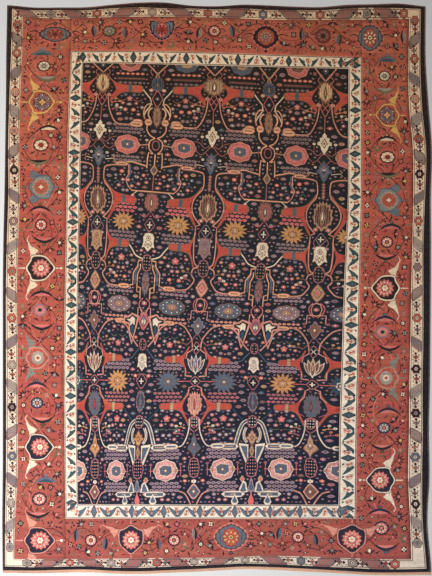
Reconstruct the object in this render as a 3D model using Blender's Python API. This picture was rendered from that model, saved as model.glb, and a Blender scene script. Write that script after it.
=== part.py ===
"""A hand-knotted wool carpet of about 3.1 by 4.1 m, lying flat.

+X runs across the carpet and +Y towards its head end, the end at the top of the design. +Z is up.
The floor is at Z = 0, and the origin is under the middle of the carpet. Lengths are in metres.
"""

import math

import bpy

MM = 0.001

# Driving dimensions.
CARPET_THICKNESS = 11 * MM
EDGE_ROUNDING = 3.5 * MM
EDGE_ROUNDING_STEPS = 2
TREAD_WEAR = 1.2 * MM
# The worn hollows are waves: radians for each metre across and along, and where each wave starts.
HOLLOWS_ACROSS, HOLLOWS_ALONG = 2.1, 1.7
HOLLOW_START_ACROSS, HOLLOW_START_ALONG = 0.6, -0.4
SELVEDGE_WIDTH = 9 * MM
SELVEDGE_HEIGHT = 8 * MM
# The selvedge's section: across in half widths and up in heights, from its flat underside round.
SELVEDGE_SECTION = (
    (-0.6, 0.0), (0.6, 0.0), (1.0, 0.25), (1.0, 0.6), (0.6, 0.93), (0.0, 1.0), (-0.6, 0.93), (-1.0, 0.6),
    (-1.0, 0.25),
)
KILIM_THICKNESS = 2.5 * MM
CLEARANCE = 0.3 * MM

# The solids follow the edges with a point at least this often.
CELL = 120 * MM

# Each line below follows one edge in the knotting. Its stations are evenly spaced between the two
# reaches, and its values are millimetres from the middle of the carpet, as uneven as the loom left them.
SIDE_REACH = (2037, -2024)
END_REACH = (-1503, 1499)

# Long lines, head to foot: the distance across the carpet at each station.
LEFT_SELVEDGE = (-1512, -1518, -1521, -1526, -1531, -1539, -1543, -1543, -1543, -1543, -1544, -1547, -1544)
LEFT_DARK_BAND = (-1473, -1481, -1493, -1502, -1500, -1511, -1518, -1518, -1517, -1517, -1518, -1524, -1525)
LEFT_OUTER_GUARD = (-1395, -1401, -1415, -1423, -1418, -1430, -1439, -1435, -1435, -1434, -1435, -1454, -1460)
LEFT_MAIN_BORDER = (-1046, -1050, -1064, -1075, -1081, -1086, -1093, -1097, -1100, -1097, -1093, -1089, -1087)
LEFT_INNER_GUARD = (-956, -961, -971, -978, -985, -992, -999, -1003, -1007, -1007, -1003, -999, -999)
RIGHT_INNER_GUARD = (948, 948, 948, 945, 945, 930, 916, 905, 894, 883, 880, 876, 876)
RIGHT_MAIN_BORDER = (1045, 1045, 1045, 1045, 1045, 1038, 1031, 1024, 1017, 1009, 1006, 1002, 1002)
RIGHT_OUTER_GUARD = (1387, 1381, 1384, 1413, 1415, 1408, 1400, 1395, 1387, 1384, 1378, 1393, 1402)
RIGHT_DARK_BAND = (1470, 1466, 1477, 1508, 1500, 1488, 1488, 1488, 1482, 1484, 1479, 1483, 1513)
RIGHT_SELVEDGE = (1503, 1502, 1523, 1547, 1539, 1540, 1539, 1536, 1533, 1526, 1530, 1516, 1544)

# Cross lines, left to right: the distance along the carpet at each station.
HEAD_KILIM = (
    2044, 2028, 2028, 2030, 2048, 2063, 2064, 2042, 2037, 2048, 2043, 2034, 2031, 2047, 2051, 2056, 2037,
)
HEAD_EDGE = (
    2034, 2020, 2018, 2020, 2038, 2053, 2054, 2034, 2029, 2040, 2033, 2024, 2021, 2035, 2040, 2045, 2028,
)
HEAD_DARK_BAND = (
    2019, 2006, 2008, 2006, 2021, 2028, 2021, 2019, 2012, 2020, 2008, 2006, 2006, 2019, 2025, 2022, 2016,
)
HEAD_OUTER_GUARD = (1965, 1947, 1958, 1962, 1955, 1940, 1938, 1940, 1948)
HEAD_MAIN_BORDER = (1713, 1713, 1713, 1702, 1684, 1670, 1666)
HEAD_INNER_GUARD = (1630, 1626, 1608, 1590, 1576)
FOOT_INNER_GUARD = (-1549, -1551, -1553, -1554, -1556)
FOOT_MAIN_BORDER = (-1655, -1655, -1655)
FOOT_OUTER_GUARD = (-1945, -1946, -1943, -1938, -1935, -1923, -1930, -1945, -1949)
FOOT_DARK_BAND = (
    -1999, -2004, -2000, -1997, -2006, -2008, -2001, -1994, -1986, -1977, -1981, -1989, -1999, -2007, -2017,
    -2019, -2015,
)
FOOT_EDGE = (
    -2028, -2030, -2025, -2022, -2031, -2035, -2028, -2020, -2011, -2001, -2004, -2012, -2022, -2033, -2043,
    -2043, -2040,
)
FOOT_KILIM = (
    -2047, -2050, -2046, -2043, -2051, -2056, -2048, -2040, -2031, -2021, -2025, -2034, -2043, -2052, -2062,
    -2064, -2061,
)

# The zones of the design, from the edge inwards.
ZONES = ("dark_band", "outer_guard", "main_border", "inner_guard", "field")

# Wool dyes: the linear colour of each piece's or zone's ground.
DYES = {
    "dark_band": (0.010, 0.011, 0.018),
    "outer_guard": (0.560, 0.430, 0.290),
    "main_border": (0.420, 0.070, 0.045),
    "inner_guard": (0.620, 0.510, 0.370),
    "field": (0.030, 0.035, 0.060),
    "underside": (0.230, 0.120, 0.095),
    "selvedge": (0.095, 0.055, 0.055),
    "kilim": (0.420, 0.250, 0.175),
}
WOOL_ROUGHNESS = 0.92

for leftover in list(bpy.data.objects):
    bpy.data.objects.remove(leftover, do_unlink=True)


def along(line, share):
    """The metres that a line gives at a share of its length, on a smooth curve through its stations."""
    last = len(line) - 1
    place = min(max(share, 0.0), 1.0) * last
    first = min(int(place), last - 1)
    t = place - first
    a, b, c, d = (line[min(max(first + step, 0), last)] for step in (-1, 0, 1, 2))
    curve = 2 * b + (c - a) * t + (2 * a - 5 * b + 4 * c - d) * t**2 + (3 * b - a - 3 * c + d) * t**3
    return curve / 2 * MM


def share_of(value, reach):
    """How far a distance from the middle, in metres, lies from the first end of a reach to the other."""
    return (value / MM - reach[0]) / (reach[1] - reach[0])


def shifted(line, distance):
    """A line moved sideways by a distance in metres."""
    return tuple(value + distance / MM for value in line)


SELVEDGE_STRIP = SELVEDGE_WIDTH + CLEARANCE
LONG_LINES = (
    shifted(LEFT_SELVEDGE, SELVEDGE_STRIP),
    LEFT_DARK_BAND,
    LEFT_OUTER_GUARD,
    LEFT_MAIN_BORDER,
    LEFT_INNER_GUARD,
    RIGHT_INNER_GUARD,
    RIGHT_MAIN_BORDER,
    RIGHT_OUTER_GUARD,
    RIGHT_DARK_BAND,
    shifted(RIGHT_SELVEDGE, -SELVEDGE_STRIP),
)
CROSS_LINES = (
    HEAD_EDGE,
    HEAD_DARK_BAND,
    HEAD_OUTER_GUARD,
    HEAD_MAIN_BORDER,
    HEAD_INNER_GUARD,
    FOOT_INNER_GUARD,
    FOOT_MAIN_BORDER,
    FOOT_OUTER_GUARD,
    FOOT_DARK_BAND,
    FOOT_EDGE,
)


def between(lines, place, share):
    """The value at a place among the lines: 2.5 is halfway from the third line to the fourth."""
    first = min(int(place), len(lines) - 2)
    near = along(lines[first], share)
    return near + (along(lines[first + 1], share) - near) * (place - first)


def divisions(lines):
    """The places, among the lines, of the grid that the solid follows."""
    places = []
    for first in range(len(lines) - 1):
        width = abs(along(lines[first + 1], 0.5) - along(lines[first], 0.5))
        parts = math.ceil(width / CELL)
        places += [first + part / parts for part in range(parts)]
    return [*places, len(lines) - 1]


def on_floor(column, row):
    """Where a place in the design lies on the floor."""
    middle_y = between(CROSS_LINES, row, 0.5)
    x = between(LONG_LINES, column, share_of(middle_y, SIDE_REACH))
    return x, between(CROSS_LINES, row, share_of(x, END_REACH))


COLUMNS = divisions(LONG_LINES)
ROWS = divisions(CROSS_LINES)
FLOOR_PLAN = [[on_floor(column, row) for column in COLUMNS] for row in ROWS]

# The middle of the whole outline, which becomes the origin.
head_y = max(along(HEAD_KILIM, share_of(x, END_REACH)) for x, _ in FLOOR_PLAN[0])
foot_y = min(along(FOOT_KILIM, share_of(x, END_REACH)) for x, _ in FLOOR_PLAN[-1])
left_x = min(row[0][0] for row in FLOOR_PLAN) - SELVEDGE_STRIP
right_x = max(row[-1][0] for row in FLOOR_PLAN) + SELVEDGE_STRIP
MIDDLE = ((left_x + right_x) / 2, (head_y + foot_y) / 2)


def wool(name):
    """Worn wool in one ground colour."""
    material = bpy.data.materials.new(name + "_wool")
    material.use_nodes = True
    shader = material.node_tree.nodes["Principled BSDF"]
    shader.inputs["Base Color"].default_value = (*DYES[name], 1.0)
    shader.inputs["Roughness"].default_value = WOOL_ROUGHNESS
    shader.inputs["Metallic"].default_value = 0.0
    return material


def piece(name, points, faces, wools, wool_of_face):
    """One closed solid, its faces pointing out, moved so that the carpet is centred on the origin."""
    mesh = bpy.data.meshes.new(name)
    centred = [(x - MIDDLE[0], y - MIDDLE[1], z) for x, y, z in points]
    mesh.from_pydata(centred, [], faces)
    for material in wools:
        mesh.materials.append(material)
    mesh.polygons.foreach_set("material_index", wool_of_face)
    solid = bpy.data.objects.new(name, mesh)
    bpy.context.scene.collection.objects.link(solid)
    return solid


def pile_height(x, y):
    """The pile is worn in broad shallow hollows where it is walked on."""
    across = math.sin(HOLLOWS_ACROSS * x + HOLLOW_START_ACROSS)
    hollow = across * math.cos(HOLLOWS_ALONG * y + HOLLOW_START_ALONG)
    return CARPET_THICKNESS - TREAD_WEAR * (1 + hollow) / 2


def knotted_body():
    """The knotted body: a grid of pile on top, a wall round it and a flat underside."""
    wide = len(COLUMNS)
    rim = [(0, column) for column in range(wide)]
    rim += [(row, wide - 1) for row in range(1, len(ROWS))]
    rim += [(len(ROWS) - 1, column) for column in range(wide - 2, -1, -1)]
    rim += [(row, 0) for row in range(len(ROWS) - 2, 0, -1)]
    points = [(x, y, pile_height(x, y)) for row in FLOOR_PLAN for x, y in row]
    under = len(points)
    points += [(*FLOOR_PLAN[row][column], 0.0) for row, column in rim]
    faces, zone_of_face = [], []
    last_zone = len(LONG_LINES) - 2
    for row in range(len(ROWS) - 1):
        for column in range(wide - 1):
            corner = row * wide + column
            faces.append((corner, corner + wide, corner + wide + 1, corner + 1))
            across, down = int(COLUMNS[column]), int(ROWS[row])
            zone_of_face.append(min(across, last_zone - across, down, last_zone - down))
    for step, (row, column) in enumerate(rim):
        after = (step + 1) % len(rim)
        upper = row * wide + column
        upper_after = rim[after][0] * wide + rim[after][1]
        faces.append((upper, upper_after, under + after, under + step))
        zone_of_face.append(0)
    faces.append(tuple(range(under, under + len(rim))))
    zone_of_face.append(len(ZONES))
    wools = [wool(name) for name in (*ZONES, "underside")]
    solid = piece("rug_pile", points, faces, wools, zone_of_face)
    rounding = solid.modifiers.new("rounded_rim", "BEVEL")
    rounding.limit_method = "WEIGHT"
    rounding.width = EDGE_ROUNDING
    rounding.segments = EDGE_ROUNDING_STEPS
    upper_rim = {frozenset((a[0] * wide + a[1], b[0] * wide + b[1])) for a, b in zip(rim, rim[1:] + rim[:1])}
    weights = solid.data.attributes.new("bevel_weight_edge", "FLOAT", "EDGE")
    for edge in solid.data.edges:
        weights.data[edge.index].value = float(frozenset(edge.vertices) in upper_rim)


def selvedge(name, side, material):
    """A cord of overcasting along a long side: flat where it lies on the floor, round above."""
    column = 0 if side < 0 else -1
    half = SELVEDGE_WIDTH / 2
    points, faces = [], []
    for row in FLOOR_PLAN:
        x, y = row[column]
        middle = x + side * (CLEARANCE + half)
        points += [(middle + across * half, y, up * SELVEDGE_HEIGHT) for across, up in SELVEDGE_SECTION]
    count = len(SELVEDGE_SECTION)
    for start in range(0, len(points) - count, count):
        for corner in range(count):
            beside = (corner + 1) % count
            faces.append((start + corner, start + beside, start + count + beside, start + count + corner))
    faces.append(tuple(reversed(range(count))))
    faces.append(tuple(range(len(points) - count, len(points))))
    return piece(name, points, faces, [material], [0] * len(faces))


def kilim_end(name, row, outer_line, side, material):
    """A thin flat-woven band along one end, with a wavy outer edge."""
    first, last = FLOOR_PLAN[row][0], FLOOR_PLAN[row][-1]
    inner = [(first[0] - SELVEDGE_STRIP, first[1]), *FLOOR_PLAN[row], (last[0] + SELVEDGE_STRIP, last[1])]
    points, faces = [], []
    for x, y in inner:
        low, high = sorted((y + side * CLEARANCE, along(outer_line, share_of(x, END_REACH))))
        points += [(x, low, 0.0), (x, high, 0.0), (x, high, KILIM_THICKNESS), (x, low, KILIM_THICKNESS)]
    for start in range(0, len(points) - 4, 4):
        for corner in range(4):
            beside = (corner + 1) % 4
            faces.append((start + corner, start + beside, start + 4 + beside, start + 4 + corner))
    faces.append((3, 2, 1, 0))
    faces.append(tuple(range(len(points) - 4, len(points))))
    return piece(name, points, faces, [material], [0] * len(faces))


knotted_body()
selvedge_wool = wool("selvedge")
selvedge("selvedge_left", -1, selvedge_wool)
selvedge("selvedge_right", 1, selvedge_wool)
kilim_wool = wool("kilim")
kilim_end("kilim_end_head", 0, HEAD_KILIM, 1, kilim_wool)
kilim_end("kilim_end_foot", -1, FOOT_KILIM, -1, kilim_wool)
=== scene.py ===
"""The looks of a hand-knotted wool carpet, about 3.1 by 4.1 m, lying flat on a floor.

Lengths are in metres in the model's frame: +X across, +Y towards the head end and +Z up. The design is
charted in knots, across from the left side and down from the head end, as a weaver reads it.
"""

from math import ceil, cos, degrees, hypot, pi, radians, sin, tau

import bpy
import numpy as np
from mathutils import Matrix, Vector
from mathutils.geometry import delaunay_2d_cdt


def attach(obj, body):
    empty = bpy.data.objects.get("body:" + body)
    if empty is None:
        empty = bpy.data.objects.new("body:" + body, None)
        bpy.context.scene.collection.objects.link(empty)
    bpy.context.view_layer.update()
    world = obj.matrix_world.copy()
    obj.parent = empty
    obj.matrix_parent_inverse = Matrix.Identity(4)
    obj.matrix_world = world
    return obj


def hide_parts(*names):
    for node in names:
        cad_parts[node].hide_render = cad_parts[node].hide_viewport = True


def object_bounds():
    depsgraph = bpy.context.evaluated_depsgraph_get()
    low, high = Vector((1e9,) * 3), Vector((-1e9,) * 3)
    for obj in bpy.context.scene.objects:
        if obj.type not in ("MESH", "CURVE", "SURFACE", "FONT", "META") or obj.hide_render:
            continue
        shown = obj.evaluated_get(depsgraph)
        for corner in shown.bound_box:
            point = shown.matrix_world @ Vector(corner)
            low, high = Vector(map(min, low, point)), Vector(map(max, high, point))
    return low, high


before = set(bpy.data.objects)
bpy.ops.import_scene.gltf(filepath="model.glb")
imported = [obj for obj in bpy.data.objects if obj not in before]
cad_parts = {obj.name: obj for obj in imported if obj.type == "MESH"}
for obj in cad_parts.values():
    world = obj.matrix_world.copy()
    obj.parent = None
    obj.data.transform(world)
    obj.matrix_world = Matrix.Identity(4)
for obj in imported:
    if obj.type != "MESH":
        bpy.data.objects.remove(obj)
cad_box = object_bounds()


# ---- The foundation ----
# Cotton warps, set up on the loom, and the wool wefts that are beaten down between rows of knots. It
# is the cloth that carries the pile. Its edges and the lines of the borders wandered as it was woven.

MM = 0.001
KNOT = 2.4 * MM
CARPET_THICKNESS = 11 * MM
FOUNDATION_THICKNESS = 4 * MM
SELVEDGE_WIDTH = 9 * MM
CLEARANCE = 0.3 * MM
SELVEDGE_STRIP = SELVEDGE_WIDTH + CLEARANCE

# Each line follows one edge in the knotting. Its stations are evenly spaced between the two reaches,
# and its values are millimetres from the middle of the carpet.
SIDE_REACH = (2037, -2024)
END_REACH = (-1503, 1499)
LEFT_SELVEDGE = (-1512, -1518, -1521, -1526, -1531, -1539, -1543, -1543, -1543, -1543, -1544, -1547, -1544)
RIGHT_SELVEDGE = (1503, 1502, 1523, 1547, 1539, 1540, 1539, 1536, 1533, 1526, 1530, 1516, 1544)
HEAD_KILIM = (
    2044, 2028, 2028, 2030, 2048, 2063, 2064, 2042, 2037, 2048, 2043, 2034, 2031, 2047, 2051, 2056, 2037,
)
FOOT_KILIM = (
    -2047, -2050, -2046, -2043, -2051, -2056, -2048, -2040, -2031, -2021, -2025, -2034, -2043, -2052, -2062,
    -2064, -2061,
)
# The borders' long lines from left to right, then their cross lines from head to foot: the carpet's
# edge, the dark band, the outer guard, the main border and the inner guard, and back out again.
LONG_LINES = (
    [value + SELVEDGE_STRIP / MM for value in LEFT_SELVEDGE],
    (-1473, -1481, -1493, -1502, -1500, -1511, -1518, -1518, -1517, -1517, -1518, -1524, -1525),
    (-1395, -1401, -1415, -1423, -1418, -1430, -1439, -1435, -1435, -1434, -1435, -1454, -1460),
    (-1046, -1050, -1064, -1075, -1081, -1086, -1093, -1097, -1100, -1097, -1093, -1089, -1087),
    (-956, -961, -971, -978, -985, -992, -999, -1003, -1007, -1007, -1003, -999, -999),
    (948, 948, 948, 945, 945, 930, 916, 905, 894, 883, 880, 876, 876),
    (1045, 1045, 1045, 1045, 1045, 1038, 1031, 1024, 1017, 1009, 1006, 1002, 1002),
    (1387, 1381, 1384, 1413, 1415, 1408, 1400, 1395, 1387, 1384, 1378, 1393, 1402),
    (1470, 1466, 1477, 1508, 1500, 1488, 1488, 1488, 1482, 1484, 1479, 1483, 1513),
    [value + -SELVEDGE_STRIP / MM for value in RIGHT_SELVEDGE],
)
CROSS_LINES = (
    (2034, 2020, 2018, 2020, 2038, 2053, 2054, 2034, 2029, 2040, 2033, 2024, 2021, 2035, 2040, 2045, 2028),
    (2019, 2006, 2008, 2006, 2021, 2028, 2021, 2019, 2012, 2020, 2008, 2006, 2006, 2019, 2025, 2022, 2016),
    (1965, 1947, 1958, 1962, 1955, 1940, 1938, 1940, 1948),
    (1713, 1713, 1713, 1702, 1684, 1670, 1666),
    (1630, 1626, 1608, 1590, 1576),
    (-1549, -1551, -1553, -1554, -1556),
    (-1655, -1655, -1655),
    (-1945, -1946, -1943, -1938, -1935, -1923, -1930, -1945, -1949),
    (
        -1999, -2004, -2000, -1997, -2006, -2008, -2001, -1994, -1986, -1977, -1981, -1989, -1999, -2007,
        -2017, -2019, -2015,
    ),
    (
        -2028, -2030, -2025, -2022, -2031, -2035, -2028, -2020, -2011, -2001, -2004, -2012, -2022, -2033,
        -2043, -2043, -2040,
    ),
)
# Where the chart draws each line: knots across for the long lines and knots down for the cross lines.
CHART_COLUMNS = (12, 21, 54, 198, 240, 1032, 1077, 1233, 1270, 1287)
CHART_ROWS = (20, 27, 54, 162, 198, 1515, 1557, 1674, 1701, 1712)
FRAME_LINES = (CHART_COLUMNS, LONG_LINES, CHART_ROWS, CROSS_LINES)
LEFT, HEAD, RIGHT, FOOT = CHART_COLUMNS[0], CHART_ROWS[0], CHART_COLUMNS[-1], CHART_ROWS[-1]


def along(line, share):
    """The metres that a line gives at shares of its length, on a smooth curve through its stations."""
    values = np.array(line, float) * MM
    last = len(values) - 1
    place = np.clip(share, 0.0, 1.0) * last
    first = np.minimum(place.astype(int), last - 1)
    t = place - first
    a, b, c, d = (values[np.clip(first + step, 0, last)] for step in (-1, 0, 1, 2))
    curve = 2 * b + (c - a) * t + (2 * a - 5 * b + 4 * c - d) * t**2 + (3 * b - a - 3 * c + d) * t**3
    return curve / 2


def share_of(value, reach):
    """How far a distance from the middle, in metres, lies from the first end of a reach to the other."""
    return (value / MM - reach[0]) / (reach[1] - reach[0])


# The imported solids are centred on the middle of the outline, and so are these pieces.
left_reach = along(LEFT_SELVEDGE, np.linspace(0, 1, 80)).min()
head_reach = along(HEAD_KILIM, np.linspace(0, 1, 80)).max()
MIDDLE = np.array((left_reach - cad_box[0][0], head_reach - cad_box[1][1]))


def between(lines, place, share):
    """The values at places among the lines: 2.5 is halfway from the third line to the fourth."""
    first = np.clip(place.astype(int), 0, len(lines) - 2)
    values = np.array([along(line, share) for line in lines])
    each = np.arange(len(place))
    near = values[first, each]
    return near + (values[first + 1, each] - near) * (place - first)


def on_floor(across, down, lines):
    """Where knots of the chart lie on the floor, in metres across and along."""
    chart_columns, long_lines, chart_rows, cross_lines = lines
    column = np.interp(across, chart_columns, range(len(chart_columns)))
    row = np.interp(down, chart_rows, range(len(chart_rows)))
    middle_y = between(cross_lines, row, np.full(len(row), 0.5))
    x = between(long_lines, column, share_of(middle_y, SIDE_REACH))
    y = between(cross_lines, row, share_of(x, END_REACH))
    return np.column_stack([x, y]) - MIDDLE


def light_of(level):
    """A colour level from 0 to 255 as an amount of light."""
    level = level / 255
    return level / 12.92 if level <= 0.04045 else ((level + 0.055) / 1.055) ** 2.4


DYE_STATIONS = 9


def yarn(*lots):
    """A wool, by the colour of each dye lot that was knotted in, evenly spaced from head to foot."""
    colours = np.array([[light_of(level) for level in lot] for lot in lots])
    stations = np.linspace(0, len(lots) - 1, DYE_STATIONS)
    return np.array([np.interp(stations, range(len(lots)), channel) for channel in colours.T]).T


def facing(outline):
    """The outline, turned the right way round for cutting out."""
    area = sum(a[0] * b[1] - b[0] * a[1] for a, b in zip(outline, outline[1:] + outline[:1]))
    return outline if area > 0 else outline[::-1]


def cut_out(outlines, spots=()):
    """Cuts overlapping outlines into triangles: the knots, the triangles, and the outlines round each."""
    corners, loops = [], []
    for outline in outlines:
        loops.append(list(range(len(corners), len(corners) + len(outline))))
        corners += [Vector(corner) for corner in outline]
    corners += [Vector(spot) for spot in spots]
    points, _, triangles, _, _, sources = delaunay_2d_cdt(corners, [], loops, 1, 1e-4, True)
    return np.array([tuple(point) for point in points]), triangles, sources


def cells(strip, longest):
    """The squares of a strip of the chart, at least six of them across it."""
    left, head, right, foot = strip
    columns = np.linspace(left, right, 1 + max(6, ceil((right - left) / longest)))
    rows = np.linspace(head, foot, 1 + max(6, ceil((foot - head) / longest)))
    return [
        [(u, v), (next_u, v), (next_u, next_v), (u, next_v)]
        for u, next_u in zip(columns, columns[1:])
        for v, next_v in zip(rows, rows[1:])
    ]


def dyed_cloth(name, points, faces, colours, smooth):
    """A piece of cloth whose faces each hold the dye of their wool, the first of them smooth."""
    mesh = bpy.data.meshes.new(name)
    mesh.from_pydata(points, [], faces)
    dye = mesh.attributes.new("dye", "FLOAT_COLOR", "CORNER")
    opaque = np.column_stack([colours, np.ones(len(colours))])
    dye.data.foreach_set("color", np.repeat(opaque, [len(face) for face in faces], axis=0).ravel())
    mesh.polygons.foreach_set("use_smooth", [step < smooth for step in range(len(faces))])
    cloth = bpy.data.objects.new(name, mesh)
    bpy.context.scene.collection.objects.link(cloth)
    return cloth


def closed_layer(name, squares, lines, knots, triangles, colours, heights, floor_height):
    """A layer of cloth with its top as given, walls round its rims and a flat underside."""
    steps = {step for a, b, c in triangles for step in ((a, b), (b, c), (c, a))}
    rim = sorted(step for step in steps if step[::-1] not in steps)
    corners = sorted({corner for step in rim for corner in step})
    below, under, sources = cut_out(squares, knots[corners])
    under = [face for face, by in zip(under, sources) if by]
    nearest = {(round(u, 2), round(v, 2)): step for step, (u, v) in enumerate(below)}
    lower = {corner: nearest[tuple(round(value, 2) for value in knots[corner])] for corner in corners}
    top = np.column_stack([on_floor(*knots.T, lines), heights])
    bottom = np.column_stack([on_floor(*below.T, lines), np.full(len(below), floor_height)])
    count = len(top)
    faces = [face[::-1] for face in triangles]
    faces += [(a, b, count + lower[b], count + lower[a]) for a, b in rim]
    faces += [[count + corner for corner in face] for face in under]
    hidden = np.tile(colours.mean(axis=0), (len(faces) - len(colours), 1))
    points, shades = np.vstack([top, bottom]).tolist(), np.vstack([colours, hidden])
    return dyed_cloth(name, points, faces, shades, smooth=len(triangles))


def spun_wool(name, streak, mottle, tuft_depth, sheen, tuft=KNOT):
    """Dyed wool. Each dye streaks along the wefts and mottles, and its tufts stand a little apart, with shade
    painted darker into the gaps between them.
    """
    material = bpy.data.materials.new(name)
    material.use_nodes = True
    tree = material.node_tree
    shader = tree.nodes["Principled BSDF"]

    def joined(kind, output, operation=None, **inputs):
        """The output of a new node, with each input set or joined to another node's output."""
        node = tree.nodes.new("ShaderNode" + kind)
        if operation:
            node.operation = operation
        for label, value in inputs.items():
            socket = node.inputs[int(label[1:]) if label[0] == "_" else label]
            if isinstance(value, bpy.types.NodeSocket):
                tree.links.new(value, socket)
            else:
                socket.default_value = value
        return node.outputs[output]

    def spread(value, low, high, start=0.3, end=0.7):
        """A texture's middle values, spread from low to high."""
        return joined("MapRange", 0, Value=value, _1=start, _2=end, _3=low, _4=high)

    dye_node = tree.nodes.new("ShaderNodeAttribute")
    dye_node.attribute_name = "dye"
    place = joined("TexCoord", "Object")
    rows = joined("Mapping", 0, Vector=place, Scale=(1.3, 95, 1))
    rows = joined("TexNoise", "Fac", Vector=rows, Scale=1, Detail=3)
    blots = joined("TexNoise", "Fac", Vector=place, Scale=58, Detail=3, Roughness=0.6)
    tufts = joined("TexVoronoi", "Distance", Vector=place, Scale=1 / tuft, Randomness=0.45)
    lots = joined("Mapping", 0, Vector=place, Scale=(2.4, 13, 1))
    worn = joined("TexNoise", "Fac", Vector=lots, Scale=1, Detail=4, Roughness=0.65)
    shade = spread(rows, 1 - streak, 1 + streak)
    # Painted shade: the tufts' pattern darkens the colour from each tuft's middle towards the gaps between
    # tufts, and the product below carries it into the base colour.
    blot_shade, painted_tuft_gap_shade = spread(blots, 1 - mottle, 1 + mottle), spread(tufts, 1.06, 0.72, 0.2, 0.9)
    for other in (blot_shade, painted_tuft_gap_shade, spread(worn, 0.84, 1.14)):
        shade = joined("Math", 0, "MULTIPLY", _0=shade, _1=other)
    hue = spread(worn.node.outputs["Color"], 0.492, 0.51)
    colour = joined("HueSaturation", 0, Color=dye_node.outputs["Color"], Hue=hue, Value=shade)
    tree.links.new(colour, shader.inputs["Base Color"])
    tree.links.new(spread(blots, 0.82, 0.97), shader.inputs["Roughness"])
    lean = joined("Bump", 0, Height=blots, Strength=0.3, Distance=1.5 * MM)
    depth = joined("Math", 0, "MULTIPLY", _0=tufts, _1=-1)
    bump = joined("Bump", 0, Height=depth, Strength=0.7, Distance=tuft_depth, Normal=lean)
    tree.links.new(bump, shader.inputs["Normal"])
    shader.inputs["Sheen Weight"].default_value = sheen
    shader.inputs["Sheen Roughness"].default_value = 0.45
    shader.inputs["Specular IOR Level"].default_value = 0.15
    return material


BACK_WOOL = yarn((112, 74, 62), (104, 70, 66), (116, 76, 68))
CLOTH_CELL = 24
squares = cells((LEFT, HEAD, RIGHT, FOOT), CLOTH_CELL)
knots, triangles, _ = cut_out(squares)
back_dyes = np.repeat(BACK_WOOL[:1], len(triangles), axis=0)
heights = np.full(len(knots), FOUNDATION_THICKNESS)
foundation = closed_layer("foundation", squares, FRAME_LINES, knots, triangles, back_dyes, heights, 0.0)
foundation.data.materials.append(
    spun_wool("foundation_weave", streak=0.14, mottle=0.1, tuft_depth=0.8 * MM, sheen=0.1)
)
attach(foundation, "root")
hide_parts("rug_pile")


# ---- The dark edge band ----
# The outermost knots: a narrow plain band in wool dyed almost black. Its rim is rounded by wear, and
# the pile inside it is worn in broad shallow hollows where the carpet is walked on.

EDGE_ROUNDING = 3.5 * MM
TREAD_WEAR = 1.2 * MM
# The worn hollows are waves: radians for each metre across and along, and where each wave starts.
HOLLOWS_ACROSS, HOLLOWS_ALONG = 2.1, 1.7
HOLLOW_START_ACROSS, HOLLOW_START_ALONG = 0.6, -0.4
DARK_WOOL_WEAR = 0.7 * MM
PILE_CELL = 16
NIGHT_BLUE = yarn((38, 26, 20), (34, 28, 30), (30, 28, 36))
EDGE_LIGHT = yarn((78, 52, 44), (70, 56, 54), (64, 52, 54))
PALE = 0.05
STITCH_STEP, STITCH_LENGTH = 11, 9


def ring_of_strips(ring):
    """The four strips of a border, by its place in the chart counted from the edge inwards."""
    left, left_in = CHART_COLUMNS[ring], CHART_COLUMNS[ring + 1]
    right_in, right = CHART_COLUMNS[-2 - ring], CHART_COLUMNS[-1 - ring]
    head, head_in = CHART_ROWS[ring], CHART_ROWS[ring + 1]
    foot_in, foot = CHART_ROWS[-2 - ring], CHART_ROWS[-1 - ring]
    return (
        (left, head, left_in, foot),
        (right_in, head, right, foot),
        (left_in, head, right_in, head_in),
        (left_in, foot_in, right_in, foot),
    )


def pile_height(knots, place):
    """How high the pile stands: worn hollows, and a rim that rounds down at the carpet's edge."""
    x, y = (place + MIDDLE).T
    across = np.sin(HOLLOWS_ACROSS * x + HOLLOW_START_ACROSS)
    hollow = across * np.cos(HOLLOWS_ALONG * y + HOLLOW_START_ALONG)
    height = CARPET_THICKNESS - TREAD_WEAR * (1 + hollow) / 2
    u, v = knots.T
    edge = np.minimum(np.minimum(u - LEFT, RIGHT - u), np.minimum(v - HEAD, FOOT - v)) * KNOT
    inset = EDGE_ROUNDING - np.clip(edge, 0, EDGE_ROUNDING)
    return height - EDGE_ROUNDING + np.sqrt(EDGE_ROUNDING**2 - inset**2)


def reaches(outline, strips):
    """Whether an outline comes into any of the strips."""
    across, down = zip(*outline)
    return any(
        max(across) > left and min(across) < right and max(down) > head and min(down) < foot
        for left, head, right, foot in strips
    )


def knotted(name, strips, design, ground, lines=FRAME_LINES):
    """Knots a part of the design: the ground wool first, then each outline over those before it."""
    squares = [square for strip in strips for square in cells(strip, PILE_CELL)]
    design = [(wool, outline) for wool, outline in design if reaches(outline, strips)]
    knots, triangles, sources = cut_out(squares + [facing(outline) for _, outline in design])
    count = len(squares)
    inside = [(face, max(by)) for face, by in zip(triangles, sources) if by and min(by) < count]
    triangles = [face for face, _ in inside]
    uppermost = np.array([max(0, top - count + 1) for _, top in inside])
    corners = np.array(triangles)
    wools = np.array([ground] + [wool for wool, _ in design])
    down = knots[corners].mean(axis=1)[:, 1]
    place = np.clip((down - HEAD) / (FOOT - HEAD), 0, 0.9999) * (DYE_STATIONS - 1)
    station = place.astype(int)
    mixed = (place - station)[:, None]
    colours = wools[uppermost, station] * (1 - mixed) + wools[uppermost, station + 1] * mixed
    dark = 1 - np.clip(colours.mean(axis=1) / PALE, 0, 1)
    worn, share = np.zeros(len(knots)), np.zeros(len(knots))
    np.add.at(worn, corners.ravel(), np.repeat(dark, 3))
    np.add.at(share, corners.ravel(), 1)
    heights = pile_height(knots, on_floor(*knots.T, lines)) - DARK_WOOL_WEAR * worn / np.maximum(share, 1)
    return closed_layer(name, squares, lines, knots, triangles, colours, heights, FOUNDATION_THICKNESS)


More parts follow.
